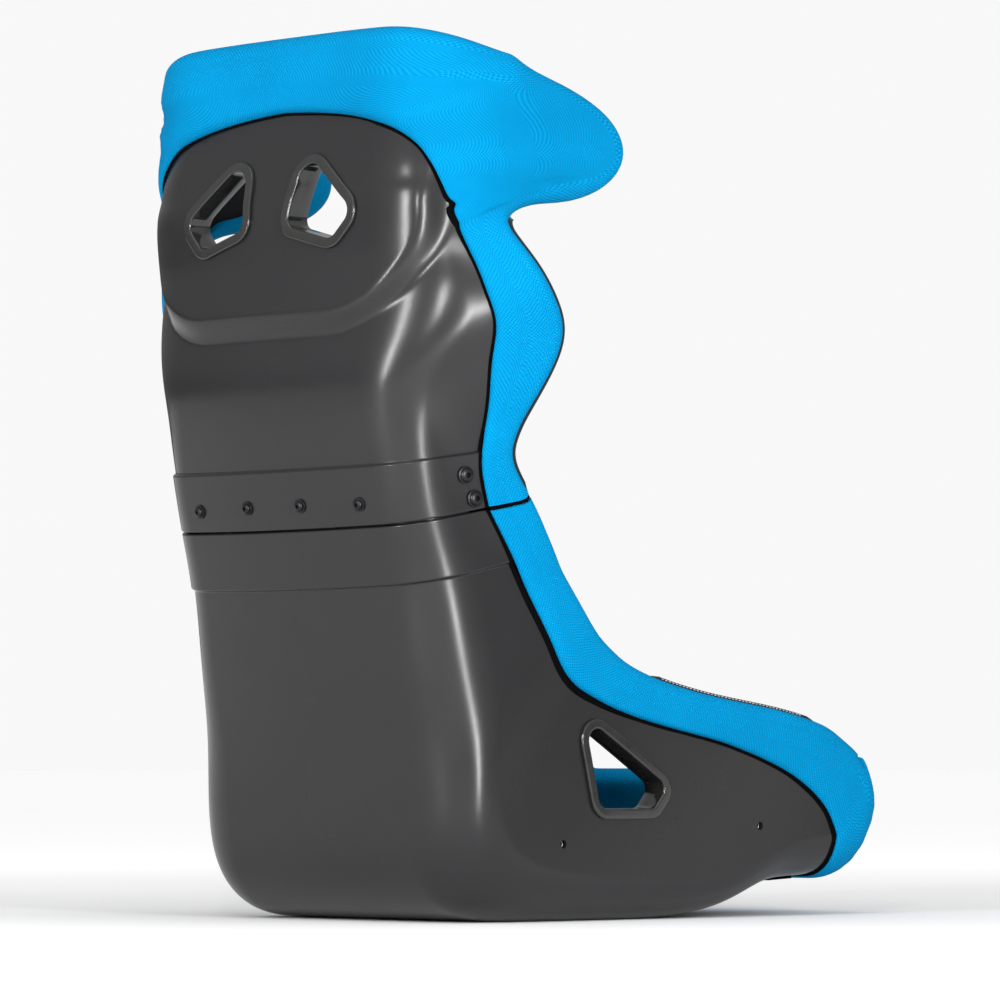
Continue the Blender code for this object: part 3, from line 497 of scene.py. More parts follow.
# near-black with little specular so the strip along the trims' border reads as the deep shadow under the cover's edge:
# partly bound edge, partly painted shadow; piping, joint pieces and webbing use it as plain black fabric
BLACK_BINDING_AND_SHADOW = fabric('black_binding_and_painted_shadow', (.0004, .0004, .0006), (.0015, .0015, .002), pitch=1.4, bump=.3, sheen=.0, spec=.05)
SHELL = laminate('satin_black_laminate', (.0145, .0142, .0152))
GLOSS = plastic('gloss_black_moulding', (.012, .0125, .0115), .13, bump=.05, scale=500.0, coat=.4)
STEEL = plastic('black_oxide_steel', (.020, .020, .022), .30, bump=.15, scale=1500.0, metallic=.75)
ZINC = plastic('zinc_plated_steel', (.50, .51, .52), .34, bump=.15, scale=1500.0, metallic=1.0)
THREAD = thread('grey_thread', (.48, .49, .50))

# ---------------------------------------------------------------- shells
def spaced(*parts):
    return np.unique(np.round(np.concatenate(parts), 4))


half_cols = spaced(np.linspace(0, .36, 34), np.linspace(.36, .74, 56), np.linspace(.74, 1, 32))
COLS = np.concatenate([-half_cols[:0:-1], half_cols])
b0, b1, b2 = at_k(17), at_k(SEAM), at_k(19)
ROUND = np.array([0, .12, .3, .55, .9, 1.4])     # rows that round off an open edge, in mm


def edge_drop(d, r=1.4):
    """How far the face falls away at d mm from its open edge."""
    d = np.clip(d, 0, r)
    return r - np.sqrt(np.maximum(r * r - (r - d) ** 2, 0))


def shell_grid(t, edge):
    tt, ss = np.meshgrid(t, COLS, indexing='ij')
    drop = edge_drop(np.abs(tt - edge))
    return tt, ss, pos(tt, ss, -drop), pos(tt, ss, -TH + .6 * drop)


up_edge, lo_edge = b1 + SEAM_HALF, b1 - SEAM_HALF
UP_T = spaced(up_edge + ROUND, np.linspace(up_edge + 2, b2 - 5, 16), np.linspace(b2 - 4.5, b2 + 4.5, 19),
              np.linspace(b2 + 6, at_k(37), 250))
LO_T = spaced(lo_edge - ROUND, np.linspace(b0 + 5, lo_edge - 2, 16), np.linspace(b0 - 4.5, b0 + 4.5, 19),
              np.linspace(0, b0 - 6, 300))
tt, ss, o_, i_ = shell_grid(UP_T, up_edge)
upper = slab('upper_shell_surface', o_, i_, SHELL, surface_uv(tt, ss))
tt, ss, o_, i_ = shell_grid(LO_T, lo_edge)
lower = slab('lower_shell_surface', o_, i_, SHELL, surface_uv(tt, ss))

# lining cloth bonded to the inside of the laminate
def lining(name, t):
    tt, ss = np.meshgrid(t, COLS[np.abs(COLS) < .965][::2], indexing='ij')
    return slab(name, pos(tt, ss, -TH - .15, 0), pos(tt, ss, -TH - .85, 0), LINING, surface_uv(tt, ss))


up_lining = lining('upper_lining', np.linspace(b1 + 3, at_k(36.6), 150))
lo_lining = lining('lower_lining', np.linspace(at_k(.5), b1 - 3, 170))

cs = COLS[np.abs(COLS) < .84]
tt, ss = np.meshgrid(np.linspace(b0 + 14, b2 - 12, 12), cs, indexing='ij')
splice = slab('splice_band_surface', pos(tt, ss, -TH - .9, 0), pos(tt, ss, -TH - 3.4, 0), SHELL, surface_uv(tt, ss))


# ---------------------------------------------------------------- padded trims
def edge_path(table, count):
    i = np.arange(len(table))
    fine = np.linspace(0, len(table) - 1, 900)
    cols_ = np.stack([np.interp(fine, i, table[:, j]) for j in range(8)], 1)
    cols_[:, [0, 2]] = np.stack([at_k(cols_[:, 0]), at_k(cols_[:, 2])], 1)
    cols_[:, 2:] = smoothed(cols_[:, 2:], 17)
    rim, edge = base(cols_[:, 0], cols_[:, 1]), base(cols_[:, 2], cols_[:, 3])
    d = 0
    for line in (rim, edge):
        step = np.diff(line, axis=0)
        turn = np.linalg.norm(np.diff(smoothed(unit(step), 9), axis=0), axis=1)
        d = d + np.linalg.norm(step, axis=1) + 70 * np.concatenate([turn[:1], turn])
    d = np.concatenate([[0], np.cumsum(d)])
    whole = np.concatenate([rim, rim[-2::-1] * [-1, 1, 1]])
    along = unit(smoothed(np.gradient(whole, axis=0), 12))[:900]
    run = np.concatenate([[0], np.cumsum(np.linalg.norm(np.diff((rim + edge) / 2, axis=0), axis=1))])
    cols_ = np.concatenate([cols_, along, run[:, None]], 1)
    return np.stack([np.interp(np.linspace(0, d[-1], count), d, cols_[:, j]) for j in range(12)], 1)


H = np.linspace(0, .985, 13)
OUT_K = np.concatenate([(1 - H ** 2) ** .25, [.36, .30, .24, .18, .12]])
IN_K = np.concatenate([[.06, .12, .2, .3, .4], (1 - H[::-1] ** 2) ** .25])
CREST = np.radians(np.linspace(10, 170, 19))


def trim_loops(path):
    gt, gw, bt, bw, to, cr, ti, reach = path[:, :8].T
    rim = base(gt, gw)
    along = unit(path[:, 8:11])
    nn = normal(gt, gw)
    tan = unit(np.cross(nn, along))
    inwards = base(gt + .08 * (bt - gt), gw + .08 * (bw - gw)) - rim
    tan = np.where((tan * inwards).sum(1, keepdims=True) > 0, -tan, tan)
    span = np.linalg.norm(base(bt, bw) - rim, axis=1)
    ik = np.clip(reach / span, 0.1, 0.92)

    def face(k, n):
        return pos(gt + k * (bt - gt), gw + k * (bw - gw), n, ease=6.0)

    loops = [face(1, GAP)]
    for k in OUT_K:
        q = 1.0 if k < .9 else math.sqrt(max(1 - ((k - .9) / .1) ** 2, 0))
        loops.append(face(min(k, .999), GAP + to * (.42 * q + .58 * max(1 - k ** 4, 0) ** .5)))
    mid, half = (to - TH - ti) / 2, (to + ti + TH + 2 * GAP) / 2
    for a in CREST:
        loops.append(rim + (cr * np.sin(a))[:, None] * tan + (lift(gt, gw, 6.0) + mid + half * np.cos(a))[:, None] * nn)
    for k in IN_K:
        loops.append(face(k * ik, -TH - 3.4 - (ti - 2.2) * max(1 - k ** 4, 0) ** .5))
    deep, deep_in = np.maximum(3.4, to * .5), np.maximum(4.2, ti * .45)
    loops.append(face(.86 * ik, -TH - deep_in))
    loops.append(face(.4 * ik, -TH - deep_in))
    for n in (-TH - deep_in, deep):
        loops.append(rim + 6.3 * tan + (lift(gt, gw, 6.0) + n)[:, None] * nn)
    for k in (.18, .38, .58, .76, .90):
        loops.append(face(k, deep))
    return np.stack(loops, 1)


def mirrored(half_loops):
    return np.concatenate([half_loops, half_loops[-2::-1] * [-1, 1, 1]])


# height in the picture -> station and share of the blue's border behind the shoulder, where the surface folds
FOLD = np.array([
    (150, 31.05, .507), (157, 30.76, .516), (164, 30.44, .523), (171, 30.05, .528), (178, 29.69, .533),
    (185, 29.26, .540), (192, 28.81, .545), (199, 28.41, .548), (206, 28.12, .571), (213, 27.79, .625),
    (220, 27.44, .679), (227, 27.10, .743), (234, 26.79, .780), (241, 26.49, .795), (248, 26.19, .799),
    (255, 25.89, .798), (262, 25.60, .795), (269, 25.30, .793), (276, 25.00, .788), (283, 24.74, .785),
    (290, 24.47, .782)])


def over_the_fold(path):
    p_ = pos(path[:, 2], path[:, 3], GAP)
    v_ = 763 - 5650 * (p_[:, 2] - 160) / (5700 + (p_[:, 1] - p_[:, 0]) * math.sqrt(.5))
    near = smoothstep(154, 170, v_) * (1 - smoothstep(262, 284, v_))
    path[:, 2] += near * (at_k(np.interp(v_, FOLD[:, 0], FOLD[:, 1])) - path[:, 2])
    path[:, 3] += near * (np.interp(v_, FOLD[:, 0], FOLD[:, 2]) - path[:, 3])
    path[:, 2:4] = smoothed(path[:, 2:4], 4)
    return path


def relax(ob, factor, times):
    m_ = ob.modifiers.new('relax', 'SMOOTH')
    m_.factor, m_.iterations = factor, times
    bpy.context.view_layer.update()
    graph = bpy.context.evaluated_depsgraph_get()
    new = bpy.data.meshes.new_from_object(ob.evaluated_get(graph))
    ob.modifiers.clear()
    ob.data = new


def trim(name, table, count, node_):
    path = edge_path(table, count)
    if table is UPPER_EDGE:
        path = over_the_fold(path)
    half_loops = trim_loops(path)
    loops = mirrored(half_loops)
    loops = smoothed(loops.reshape(len(loops), -1), 2).reshape(loops.shape)
    girth = np.concatenate([np.zeros((len(loops), 1)), np.cumsum(np.linalg.norm(np.diff(loops, axis=1), axis=2), 1)], 1)
    girth = girth - girth[:, 30:31]          # measured from the crest, so the weave runs along it
    run = path[:, 11]
    run = np.concatenate([run, 2 * run[-1] - run[-2::-1]])
    uv = np.stack([np.broadcast_to(run[:, None], girth.shape), girth], -1) / 1000
    ob = tube(name, loops, BLUE, uv=uv, smooth=60)
    relax(ob, .5, 6)
    seat_piece(ob, (node_,))
    return ob, path


upper_trim, upper_path = trim('upper_trim_cover', UPPER_EDGE, 300, 'upper_trim')
lower_trim, lower_path = trim('lower_trim_cover', LOWER_EDGE, 260, 'lower_trim')


for tag, end in (('left', 0), ('right', 1)):
    both = [mirrored(trim_loops(p_))[-end] for p_ in (lower_path, upper_path)]
    middle = sum(b_.mean(0) for b_ in both) / 2
    both = [middle + (b_ - middle) * .975 for b_ in both]
    step_ = unit((both[1] - both[0]).mean(0)) * .15
    filler = tube('trim_joint_filler_' + tag, np.stack([both[0] + step_, both[1] - step_]), BLACK_BINDING_AND_SHADOW, smooth=30)
    seat_piece(filler, ())
tt, ss = np.meshgrid(np.linspace(b1 - 2.7, b1 + 2.7, 4), np.linspace(.79, .995, 28), indexing='ij')
for tag, sg in (('left', 1), ('right', -1)):
    seat_piece(slab('joint_backing_' + tag, pos(tt, sg * ss, -TH - .2), pos(tt, sg * ss, -TH - .8), BLACK_BINDING_AND_SHADOW, surface_uv(tt, ss)), ())


def edge_shadow_strip(name, path, width):
    """Near-black strip lying on the laminate just outside the blue: partly the cover's bound edge, partly painted
    shadow for the dark gap under the cover's edge.
    """
    gt, gw, bt, bw = path[:, :4].T
    span = np.linalg.norm(base(bt, bw) - base(gt, gw), axis=1)
    rows = []
    for off, n in ((-2.2, .45), (-2.2, .95), (.1, 1.05), (.35, 2.4), (.30, 2.9), (.45, 2.6), (.7, 1.7), (.92, .95), (1.0, .5)):
        d = off if off < .2 else off * width
        k = 1 + d / span
        rows.append(pos(gt + k * (bt - gt), gw + k * (bw - gw), n, ease=2.0))
    loops = mirrored(np.stack(rows, 1))
    run = path[:, 11]
    run = np.concatenate([run, 2 * run[-1] - run[-2::-1]])
    uv = np.stack([np.broadcast_to(run[:, None], loops.shape[:2]),
                   np.broadcast_to(np.linspace(0, 12, loops.shape[1])[None], loops.shape[:2])], -1) / 1000
    return seat_piece(tube(name, loops, BLACK_BINDING_AND_SHADOW, uv=uv, smooth=60), ())


kk = np.interp(upper_path[:, 0], TK, np.arange(len(TK)))
edge_shadow_strip('upper_trim_edge_shadow_strip', upper_path, 2.6 + .6 * smoothstep(24.5, 27, kk) * (1 - smoothstep(30.2, 31.6, kk)))
kk = np.interp(lower_path[:, 0], TK, np.arange(len(TK)))
# painted shadow: along the lower sides the strip widens over the broad shade under the trim's lip
edge_shadow_strip('lower_trim_edge_shadow_strip', lower_path, 3.2 + 3.6 * smoothstep(8.0, 12.0, kk) * (1 - smoothstep(16.2, 17.8, kk)))


# ---------------------------------------------------------------- cushions
REF_T, REF_S = np.meshgrid(np.linspace(0, TK[-1], 420), np.linspace(-1, 1, 241), indexing='ij')
REF_P = to_world(base(REF_T, REF_S)).reshape(-1, 3)
REF_UV = surface_uv(REF_T, REF_S).reshape(-1, 2)
REF_TREE = KDTree(len(REF_P))
for _i, _p in enumerate(REF_P):
    REF_TREE.insert(_p, _i)
REF_TREE.balance()


def add_uv(ob):
    """Metric surface coordinates for a remeshed piece, from the nearest point of the seat's own surface."""
    me = ob.data
    co = np.zeros(len(me.vertices) * 3, np.float32)
    me.vertices.foreach_get('co', co)
    co = co.reshape(-1, 3)
    du = REF_UV.reshape(REF_T.shape + (2,))
    uv = np.zeros((len(co), 2), np.float32)
    for i, p in enumerate(co):
        near = REF_TREE.find_n(p, 3)
        w = np.array([1 / (d + 1e-4) for _, _, d in near])
        uv[i] = (REF_UV[[j for _, j, _ in near]] * w[:, None]).sum(0) / w.sum()
    li = np.zeros(len(me.loops), np.int32)
    me.loops.foreach_get('vertex_index', li)
    layer = me.uv_layers.get('surface') or me.uv_layers.new(name='surface')
    layer.data.foreach_set('uv', uv[li].ravel())


def coords(ob):
    co = np.zeros(len(ob.data.vertices) * 3, np.float32)
    ob.data.vertices.foreach_get('co', co)
    return co.reshape(-1, 3).astype(float)


def set_coords(ob, co):
    ob.data.vertices.foreach_set('co', co.astype(np.float32).ravel())
    ob.data.update()


def normals(ob):
    no = np.zeros(len(ob.data.vertices) * 3, np.float32)
    ob.data.vertices.foreach_get('normal', no)
    return no.reshape(-1, 3).astype(float)


def apply_all(ob):
    dg = bpy.context.evaluated_depsgraph_get()
    me = bpy.data.meshes.new_from_object(ob.evaluated_get(dg))
    old = ob.data
    ob.modifiers.clear()
    ob.data = me
    bpy.data.meshes.remove(old)


def puff(ob, voxel=.005, swell=.005, pressure=4.0):
    """Remesh, inflate with cloth pressure, cap the movement and refine."""
    co = coords(ob)
    set_coords(ob, co - normals(ob) * .0012)
    m = ob.modifiers.new('remesh', 'REMESH')
    m.mode, m.voxel_size = 'VOXEL', voxel
    apply_all(ob)
    rest = coords(ob)
    c = ob.modifiers.new('cloth', 'CLOTH')
    st = c.settings
    st.quality, st.mass = 5, .3
    st.tension_stiffness = st.compression_stiffness = 18
    st.shear_stiffness, st.bending_stiffness = 6, .6
    st.use_pressure, st.uniform_pressure_force = True, pressure
    st.effector_weights.gravity = 0
    sc = bpy.context.scene
    sc.frame_start, sc.frame_end = 1, 22
    c.point_cache.frame_start, c.point_cache.frame_end = 1, 22
    for f in range(1, 21):
        sc.frame_set(f)
    apply_all(ob)
    sc.frame_set(1)
    new = coords(ob)
    move = new - rest
    length = np.linalg.norm(move, axis=1, keepdims=True)
    new = rest + move * np.minimum(1, swell / np.maximum(length, 1e-9))
    set_coords(ob, new)
    sm = ob.modifiers.new('smooth', 'SMOOTH')
    sm.factor, sm.iterations = .5, 6
    sub = ob.modifiers.new('sub', 'SUBSURF')
    sub.levels = sub.render_levels = 1
    apply_all(ob)
    ob.data.shade_smooth()


def bvh_of(ob):
    bm = bmesh.new()
    bm.from_mesh(ob.data)
    tree = BVHTree.FromBMesh(bm)
    bm.free()
    return tree


def resample(line, step):
    d = np.concatenate([[0], np.cumsum(np.linalg.norm(np.diff(line, axis=0), axis=1))])
    n = max(int(d[-1] / step), 2)
    q = np.linspace(0, d[-1], n + 1)
    return np.stack([np.interp(q, d, line[:, j]) for j in range(3)], 1)


def snapped(line, tree, step=.003):
    line = resample(line, step)
    at, no = [], []
    for p in line:
        q, n, _, _ = tree.find_nearest(Vector(p))
        at.append(q)
        no.append(n)
    return np.array(at), unit(smoothed(np.array(no), 3))


def groove(ob, lines, width, depth):
    """Presses sewn channels into a soft surface."""
    pts = np.concatenate([resample(l, .002) for l in lines])
    tree = KDTree(len(pts))
    for i, p in enumerate(pts):
        tree.insert(p, i)
    tree.balance()
    co, no = coords(ob), normals(ob)
    d = np.array([tree.find(p)[2] for p in co])
    w = np.clip(1 - (d / width) ** 2, 0, 1) ** 2
    set_coords(ob, co - no * (depth * w)[:, None])


def sweep(name, at, no, radius, mat, lift_=0.0, closed=False, sides=8, flat=1.0):
    """Round cord through points, standing on the surface they lie on."""
    at = np.asarray(at)
    tangent = np.roll(at, -1, 0) - np.roll(at, 1, 0) if closed else np.gradient(at, axis=0)
    tangent = unit(tangent)
    side = unit(np.cross(no, tangent))
    up = np.cross(tangent, side)
    a = np.arange(sides) * 2 * math.pi / sides
    loops = (at + no * lift_)[:, None] + radius * (np.cos(a)[None, :, None] * side[:, None] + flat * np.sin(a)[None, :, None] * up[:, None])
    run = np.concatenate([[0], np.cumsum(np.linalg.norm(np.diff(at, axis=0), axis=1))])
    uv = np.stack([np.broadcast_to(run[:, None], loops.shape[:2]), np.broadcast_to((a * radius)[None], loops.shape[:2])], -1)
    return tube(name, loops, mat, closed=closed, uv=uv, smooth=80, world=True)


def stitches(name, lines, mat, pitch=.0052, length=.0036, radius=.00045, lift_=.0002):
    """Separate stitches of real thread along lines given as (points, normals)."""
    ring = np.array([(-.5, .25), (-.36, .9), (0, 1.05), (.36, .9), (.5, .25)])
    a = np.arange(6) * math.pi / 3
    pts, faces, n0 = [], [], 0
    for at, no in lines:
        d = np.concatenate([[0], np.cumsum(np.linalg.norm(np.diff(at, axis=0), axis=1))])
        q = np.arange(pitch / 2, d[-1] - pitch / 2, pitch)
        c = np.stack([np.interp(q, d, at[:, j]) for j in range(3)], 1)
        up = unit(np.stack([np.interp(q, d, no[:, j]) for j in range(3)], 1))
        e = .0015
        f = np.stack([np.interp(q + e, d, at[:, j]) - np.interp(q - e, d, at[:, j]) for j in range(3)], 1)
        f = unit(f)
        sd = unit(np.cross(up, f))
        for p, t_, u_, s_ in zip(c, f, up, sd):
            body = []
            for x, r in ring:
                dip = -.0006 * (2 * x) ** 2
                o = p + u_ * (lift_ + dip) + t_ * x * length
                body.append(o[None] + r * radius * (np.cos(a)[:, None] * s_ + np.sin(a)[:, None] * u_))
            pts.append(np.concatenate(body))
            g = np.arange(30).reshape(5, 6) + n0
            q4 = np.stack([g[:-1], np.roll(g[:-1], -1, 1), np.roll(g[1:], -1, 1), g[1:]], -1).reshape(-1, 4)
            faces.append(q4)
            faces.append(np.stack([g[0, ::-1][:4], g[0, ::-1][:4]], 0)[:1])
            faces.append(g[0][[0, 5, 4, 3]][None])
            faces.append(g[0][[0, 3, 2, 1]][None])
            faces.append(g[4][[0, 1, 2, 3]][None])
            faces.append(g[4][[0, 3, 4, 5]][None])
            faces.pop(-5)
            n0 += 30
    pts = np.concatenate(pts)
    return build(name, pts, [np.concatenate(faces)], mat, np.zeros((len(pts), 2)), smooth=80)


def pad_points(t0, t1, s0, s1, thick, under, dome, edge, power, v, u):
    vv, uu = np.broadcast_arrays(v, u)
    pull = .022
    rt = (t0 + t1) / 2 + (t1 - t0) / 2 * vv * (1 - .045 * uu ** 6 - pull * (1 - uu ** 2))
    rs = (s0 + s1) / 2 + (s1 - s0) / 2 * uu * (1 - .045 * vv ** 6 - pull * (1 - vv ** 2))
    prof = np.maximum((1 - np.abs(vv) ** power) * (1 - np.abs(uu) ** power), 0) ** .5
    return rt, rs, prof, -TH - under - dome * smoothstep(.15, .5, prof), -TH - under - edge - (thick - edge) * prof


def cushion(name, node_, t0, t1, s0, s1, thick, under=1.0, dome=0.0, edge=4.0, power=4, body='seat', channels=(),
            long_channels=(), piping=True, swell=.0045, cut_=None):
    nv = max(int(abs(t1 - t0) / 3.2), 20)
    nu = max(int(abs(s1 - s0) * 470 / 3.2), 20)
    c = lambda n: np.sin(np.linspace(-1, 1, n) * math.pi / 2) * .35 + np.linspace(-1, 1, n) * .65
    v, u = np.meshgrid(c(nv), c(nu), indexing='ij')
    rt, rs, prof, lo_, hi_ = pad_points(t0, t1, s0, s1, thick, under, dome, edge, power, v, u)
    ob = slab(name, pos(rt, rs, lo_, 0), pos(rt, rs, hi_, 0), BLACK)
    if cut_:
        boolean(ob, cut_)
    puff(ob, swell=swell)

    def line(v, u, n=160):
        v, u = np.broadcast_arrays(np.asarray(v, float), np.asarray(u, float))
        rt, rs, prof, lo_, hi_ = pad_points(t0, t1, s0, s1, thick, under, dome, edge, power, v, u)
        return to_world(pos(rt, rs, hi_, 0))

    q = np.linspace(-.86, .86, 90)
    lines = [line(np.full(90, v0), q) for v0 in channels] + [line(q, np.full(90, u0)) for u0 in long_channels]
    a = np.linspace(0, 2 * math.pi, 260)
    e = .90
    sq = np.maximum(np.abs(np.cos(a)) ** 8 + np.abs(np.sin(a)) ** 8, 1e-9) ** (-1 / 8)
    outline = line(e * sq * np.sin(a), e * sq * np.cos(a))
    if lines:
        groove(ob, lines, .0085, .0042)
    groove(ob, [outline], .0055, .0020)
    add_uv(ob)
    seat_piece(ob, (node_,), body)
    tree = bvh_of(ob)
    rows = []
    for l in lines:
        at, no = snapped(l, tree)
        rows.append((at, no))
    if piping:
        at, no = snapped(outline, tree, .003)
        at, no = smoothed(at, 2)[:-1], no[:-1]
        pp = sweep(name + '_piping', at, no, .0017, BLACK_BINDING_AND_SHADOW, lift_=.0009, closed=True)
        seat_piece(pp, (), body)
        inner = line(.94 * e * sq * np.sin(a), .94 * e * sq * np.cos(a))
        rows.append(snapped(inner, tree))
    if rows:
        st = stitches(name + '_stitching', rows, THREAD)
        seat_piece(st, (), body)
    return ob


def boolean(ob, cutter):
    m = ob.modifiers.new('cut', 'BOOLEAN')
    m.operation, m.solver, m.object = 'DIFFERENCE', 'EXACT', cutter
    bpy.context.view_layer.update()
    apply_all(ob)


def prism(name, outline, low, high):
    o = np.asarray(outline)
    return tube(name, np.stack([o + low, o + high]), None, world=True, smooth=0)


def join(name, parts):
    """One cutter from several that don't meet."""
    bm = bmesh.new()
    for p in parts:
        bm.from_mesh(p.data)
        bpy.data.objects.remove(p, do_unlink=True)
    me = bpy.data.meshes.new(name)
    bm.to_mesh(me)
    bm.free()
    ob = bpy.data.objects.new(name, me)
    bpy.context.scene.collection.objects.link(ob)
    return ob


def rounded(poly, radii, n, straight=6):
    """Outline with rounded corners, n points per corner and some along each side, and its outward directions."""
    poly = np.asarray(poly, float)
    m = len(poly)
    area = sum(poly[i - 1][0] * poly[i][1] - poly[i][0] * poly[i - 1][1] for i in range(m))
    if area < 0:
        poly, radii = poly[::-1], list(radii)[::-1]
    arcs = []
    for i in range(m):
        p, a, b = poly[i], unit(poly[i - 1] - poly[i]), unit(poly[(i + 1) % m] - poly[i])
        half = math.acos(np.clip(a @ b, -1, 1)) / 2
        r = radii[i]
        centre = p + unit(a + b) * r / math.sin(half)
        n0 = np.array([-a[1], a[0]])
        n0 = n0 if n0 @ (p - centre) > 0 else -n0
        n1 = np.array([-b[1], b[0]])
        n1 = n1 if n1 @ (p - centre) > 0 else -n1
        turn = math.acos(np.clip(n0 @ n1, -1, 1))
        w = [(math.sin((1 - q) * turn) * n0 + math.sin(q * turn) * n1) / math.sin(turn) for q in np.linspace(0, 1, n)]
        arcs.append((centre + r * np.array(w), np.array(w)))
    pts, out = [], []
    for i in range(m):
        pts.append(arcs[i][0])
        out.append(arcs[i][1])
        e0, e1 = arcs[i][0][-1], arcs[(i + 1) % m][0][0]
        for q in np.linspace(0, 1, straight + 2)[1:-1]:
            pts.append((e0 * (1 - q) + e1 * q)[None])
            out.append(arcs[i][1][-1][None])
    return np.concatenate(pts), np.concatenate(out)


# ---------------------------------------------------------------- openings
def level_map(side):
    """Height of the outer face as a function of the two coordinates in its plane."""
    if side:
        t = np.linspace(at_k(3), at_k(14), 500)
        s = np.linspace(.5, 1, 160)
    else:
        t = np.linspace(at_k(24), at_k(34), 500)
        s = np.linspace(0, .7, 160)
    tt, ss = np.meshgrid(t, s, indexing='ij')
    p = pos(tt, ss, 0).reshape(-1, 3)
    key = p[:, [1, 2]] if side else p[:, [0, 2]]
    val = p[:, 0] if side else p[:, 1]
    tree = KDTree(len(key))
    for i, k_ in enumerate(key):
        tree.insert((k_[0], k_[1], 0), i)
    tree.balance()

    def at(a, b):
        near = tree.find_n((abs(a) if not side else a, b, 0), 8)
        w = np.array([1 / (d + .05) ** 2 for _, _, d in near])
        return float((val[[i for _, i, _ in near]] * w).sum() / w.sum())
    return at


BACK_LEVEL, SIDE_LEVEL = level_map(False), level_map(True)


def bezel_section(w, h, tunnel):
    """Rounded flange on the outer face and a drafted sleeve through the laminate."""
    out = [(w, .6), (w, h - 1.6)]
    out += [(w - 1.6 + 1.6 * math.cos(a), h - 1.6 + 1.6 * math.sin(a)) for a in np.radians([15, 35, 55, 75, 90])]
    out += [(w - 4, h), (w - 6.5, h), (3.0, h)]
    out += [(2.6 - 2.2 * math.sin(a), h - 2.2 + 2.2 * math.cos(a)) for a in np.radians([0, 18, 36, 54, 72, 90])]
    out += [(.35, -4), (.15, -12), (0, -tunnel + .8), (.3, -tunnel + .2), (.9, -tunnel), (2.0, -tunnel), (2.6, -tunnel + .6), (2.8, -6), (2.9, .6)]
    return np.array(out)


def bezel(name, node_, outline, radii, level, place):
    line, out = rounded(outline, radii, 12, 7)
    sec = bezel_section(BEZEL_W, BEZEL_H, TUNNEL)
    rings = []
    for p, d in zip(line, out):
        q = p[None] + sec[:, :1] * d[None]
        rings.append(place(q[:, 0], q[:, 1], np.array([level(a, b) for a, b in q]), sec[:, 1]))
    ob = tube(name, np.array(rings), GLOSS, closed=True, smooth=50)
    seat_piece(ob, (node_,))
    return line, out


cut_up, cut_lo, pad_cuts = [], [], {}
for tag, sg in (('right', -1), ('left', 1)):
    line, out = bezel('shoulder_bezel_%s_moulding' % tag, 'shoulder_bezel_' + tag, SHOULDER_HOLE, (16, 13, 13, 12), BACK_LEVEL,
                      lambda a, b, lv, h: np.stack([sg * a, lv - h, b], -1))
    e = line + 3.2 * out
    edge = np.stack([sg * e[:, 0], np.zeros(len(e)), e[:, 1]], -1)
    cut_up.append(prism('c', to_world(edge), np.array([0, -.07, 0]), np.array([0, .07, 0])))
    line, out = bezel('lap_bezel_%s_moulding' % tag, 'lap_bezel_' + tag, LAP_HOLE, (12, 10, 10, 12), SIDE_LEVEL,
                      lambda a, b, lv, h: np.stack([sg * (lv + h), a, b], -1))
    e = line + 3.2 * out
    edge = np.stack([np.full(len(e), sg * 205.0), e[:, 0], e[:, 1]], -1)
    cut_lo.append(prism('c', to_world(edge), np.array([-.045, 0, 0]), np.array([.045, 0, 0])))
    e = line + 5.0 * out
    edge = np.stack([np.full(len(e), sg * 190.0), e[:, 0], e[:, 1]], -1)
    pad_cuts[tag] = prism('pad_cut_' + tag, to_world(edge), np.array([-.05, 0, 0]), np.array([.05, 0, 0]))

boxline, boxout = rounded(((CROTCH_SLOT[0] - CROTCH_SLOT[3] / 2, -CROTCH_SLOT[2] / 2), (CROTCH_SLOT[0] + CROTCH_SLOT[3] / 2, -CROTCH_SLOT[2] / 2),
                           (CROTCH_SLOT[0] + CROTCH_SLOT[3] / 2, CROTCH_SLOT[2] / 2), (CROTCH_SLOT[0] - CROTCH_SLOT[3] / 2, CROTCH_SLOT[2] / 2)),
                          (10,) * 4, 12, 5)
sec = [(0, .8), (.3, .5), (2.1, .5), (2.4, .8), (2.6, TH + 1.8), (6.6, TH + 1.8), (7, TH + 2.2), (6.9, TH + 3), (6.3, TH + 3.6), (5.4, TH + 4),
       (1.4, TH + 4), (.6, TH + 3.8), (.1, TH + 3.2)]
rings = [[((p + o * d)[1], (p + o * d)[0], h) for o, h in sec] for p, d in zip(boxline, boxout)]
seat_piece(tube('crotch_bezel_moulding', np.array(rings), GLOSS, closed=True, smooth=50), ('crotch_bezel',))
e = boxline + 3.2 * boxout
cut_lo.append(prism('c', to_world(np.stack([e[:, 1], e[:, 0], np.zeros(len(e))], -1)), np.array([0, 0, -.03]), np.array([0, 0, .03])))
e = boxline + 9.5 * boxout
crotch_cut = prism('crotch_cut', to_world(np.stack([e[:, 1], e[:, 0], np.full(len(e), 25.)], -1)), np.array([0, 0, -.024]), np.array([0, 0, .04]))


# ---------------------------------------------------------------- fasteners
def frame_at(p, n):
    """Matrix whose +Z runs out of the surface at seat point p."""
    w = to_world(p)
    z = unit(np.array([n[0], -n[1], n[2]]))
    x = unit(np.cross([0, 0, 1.0], z))
    y = np.cross(z, x)
    m = np.eye(4)
    m[:3, 0], m[:3, 1], m[:3, 2], m[:3, 3] = x, y, z, w
    return Matrix(m.tolist())


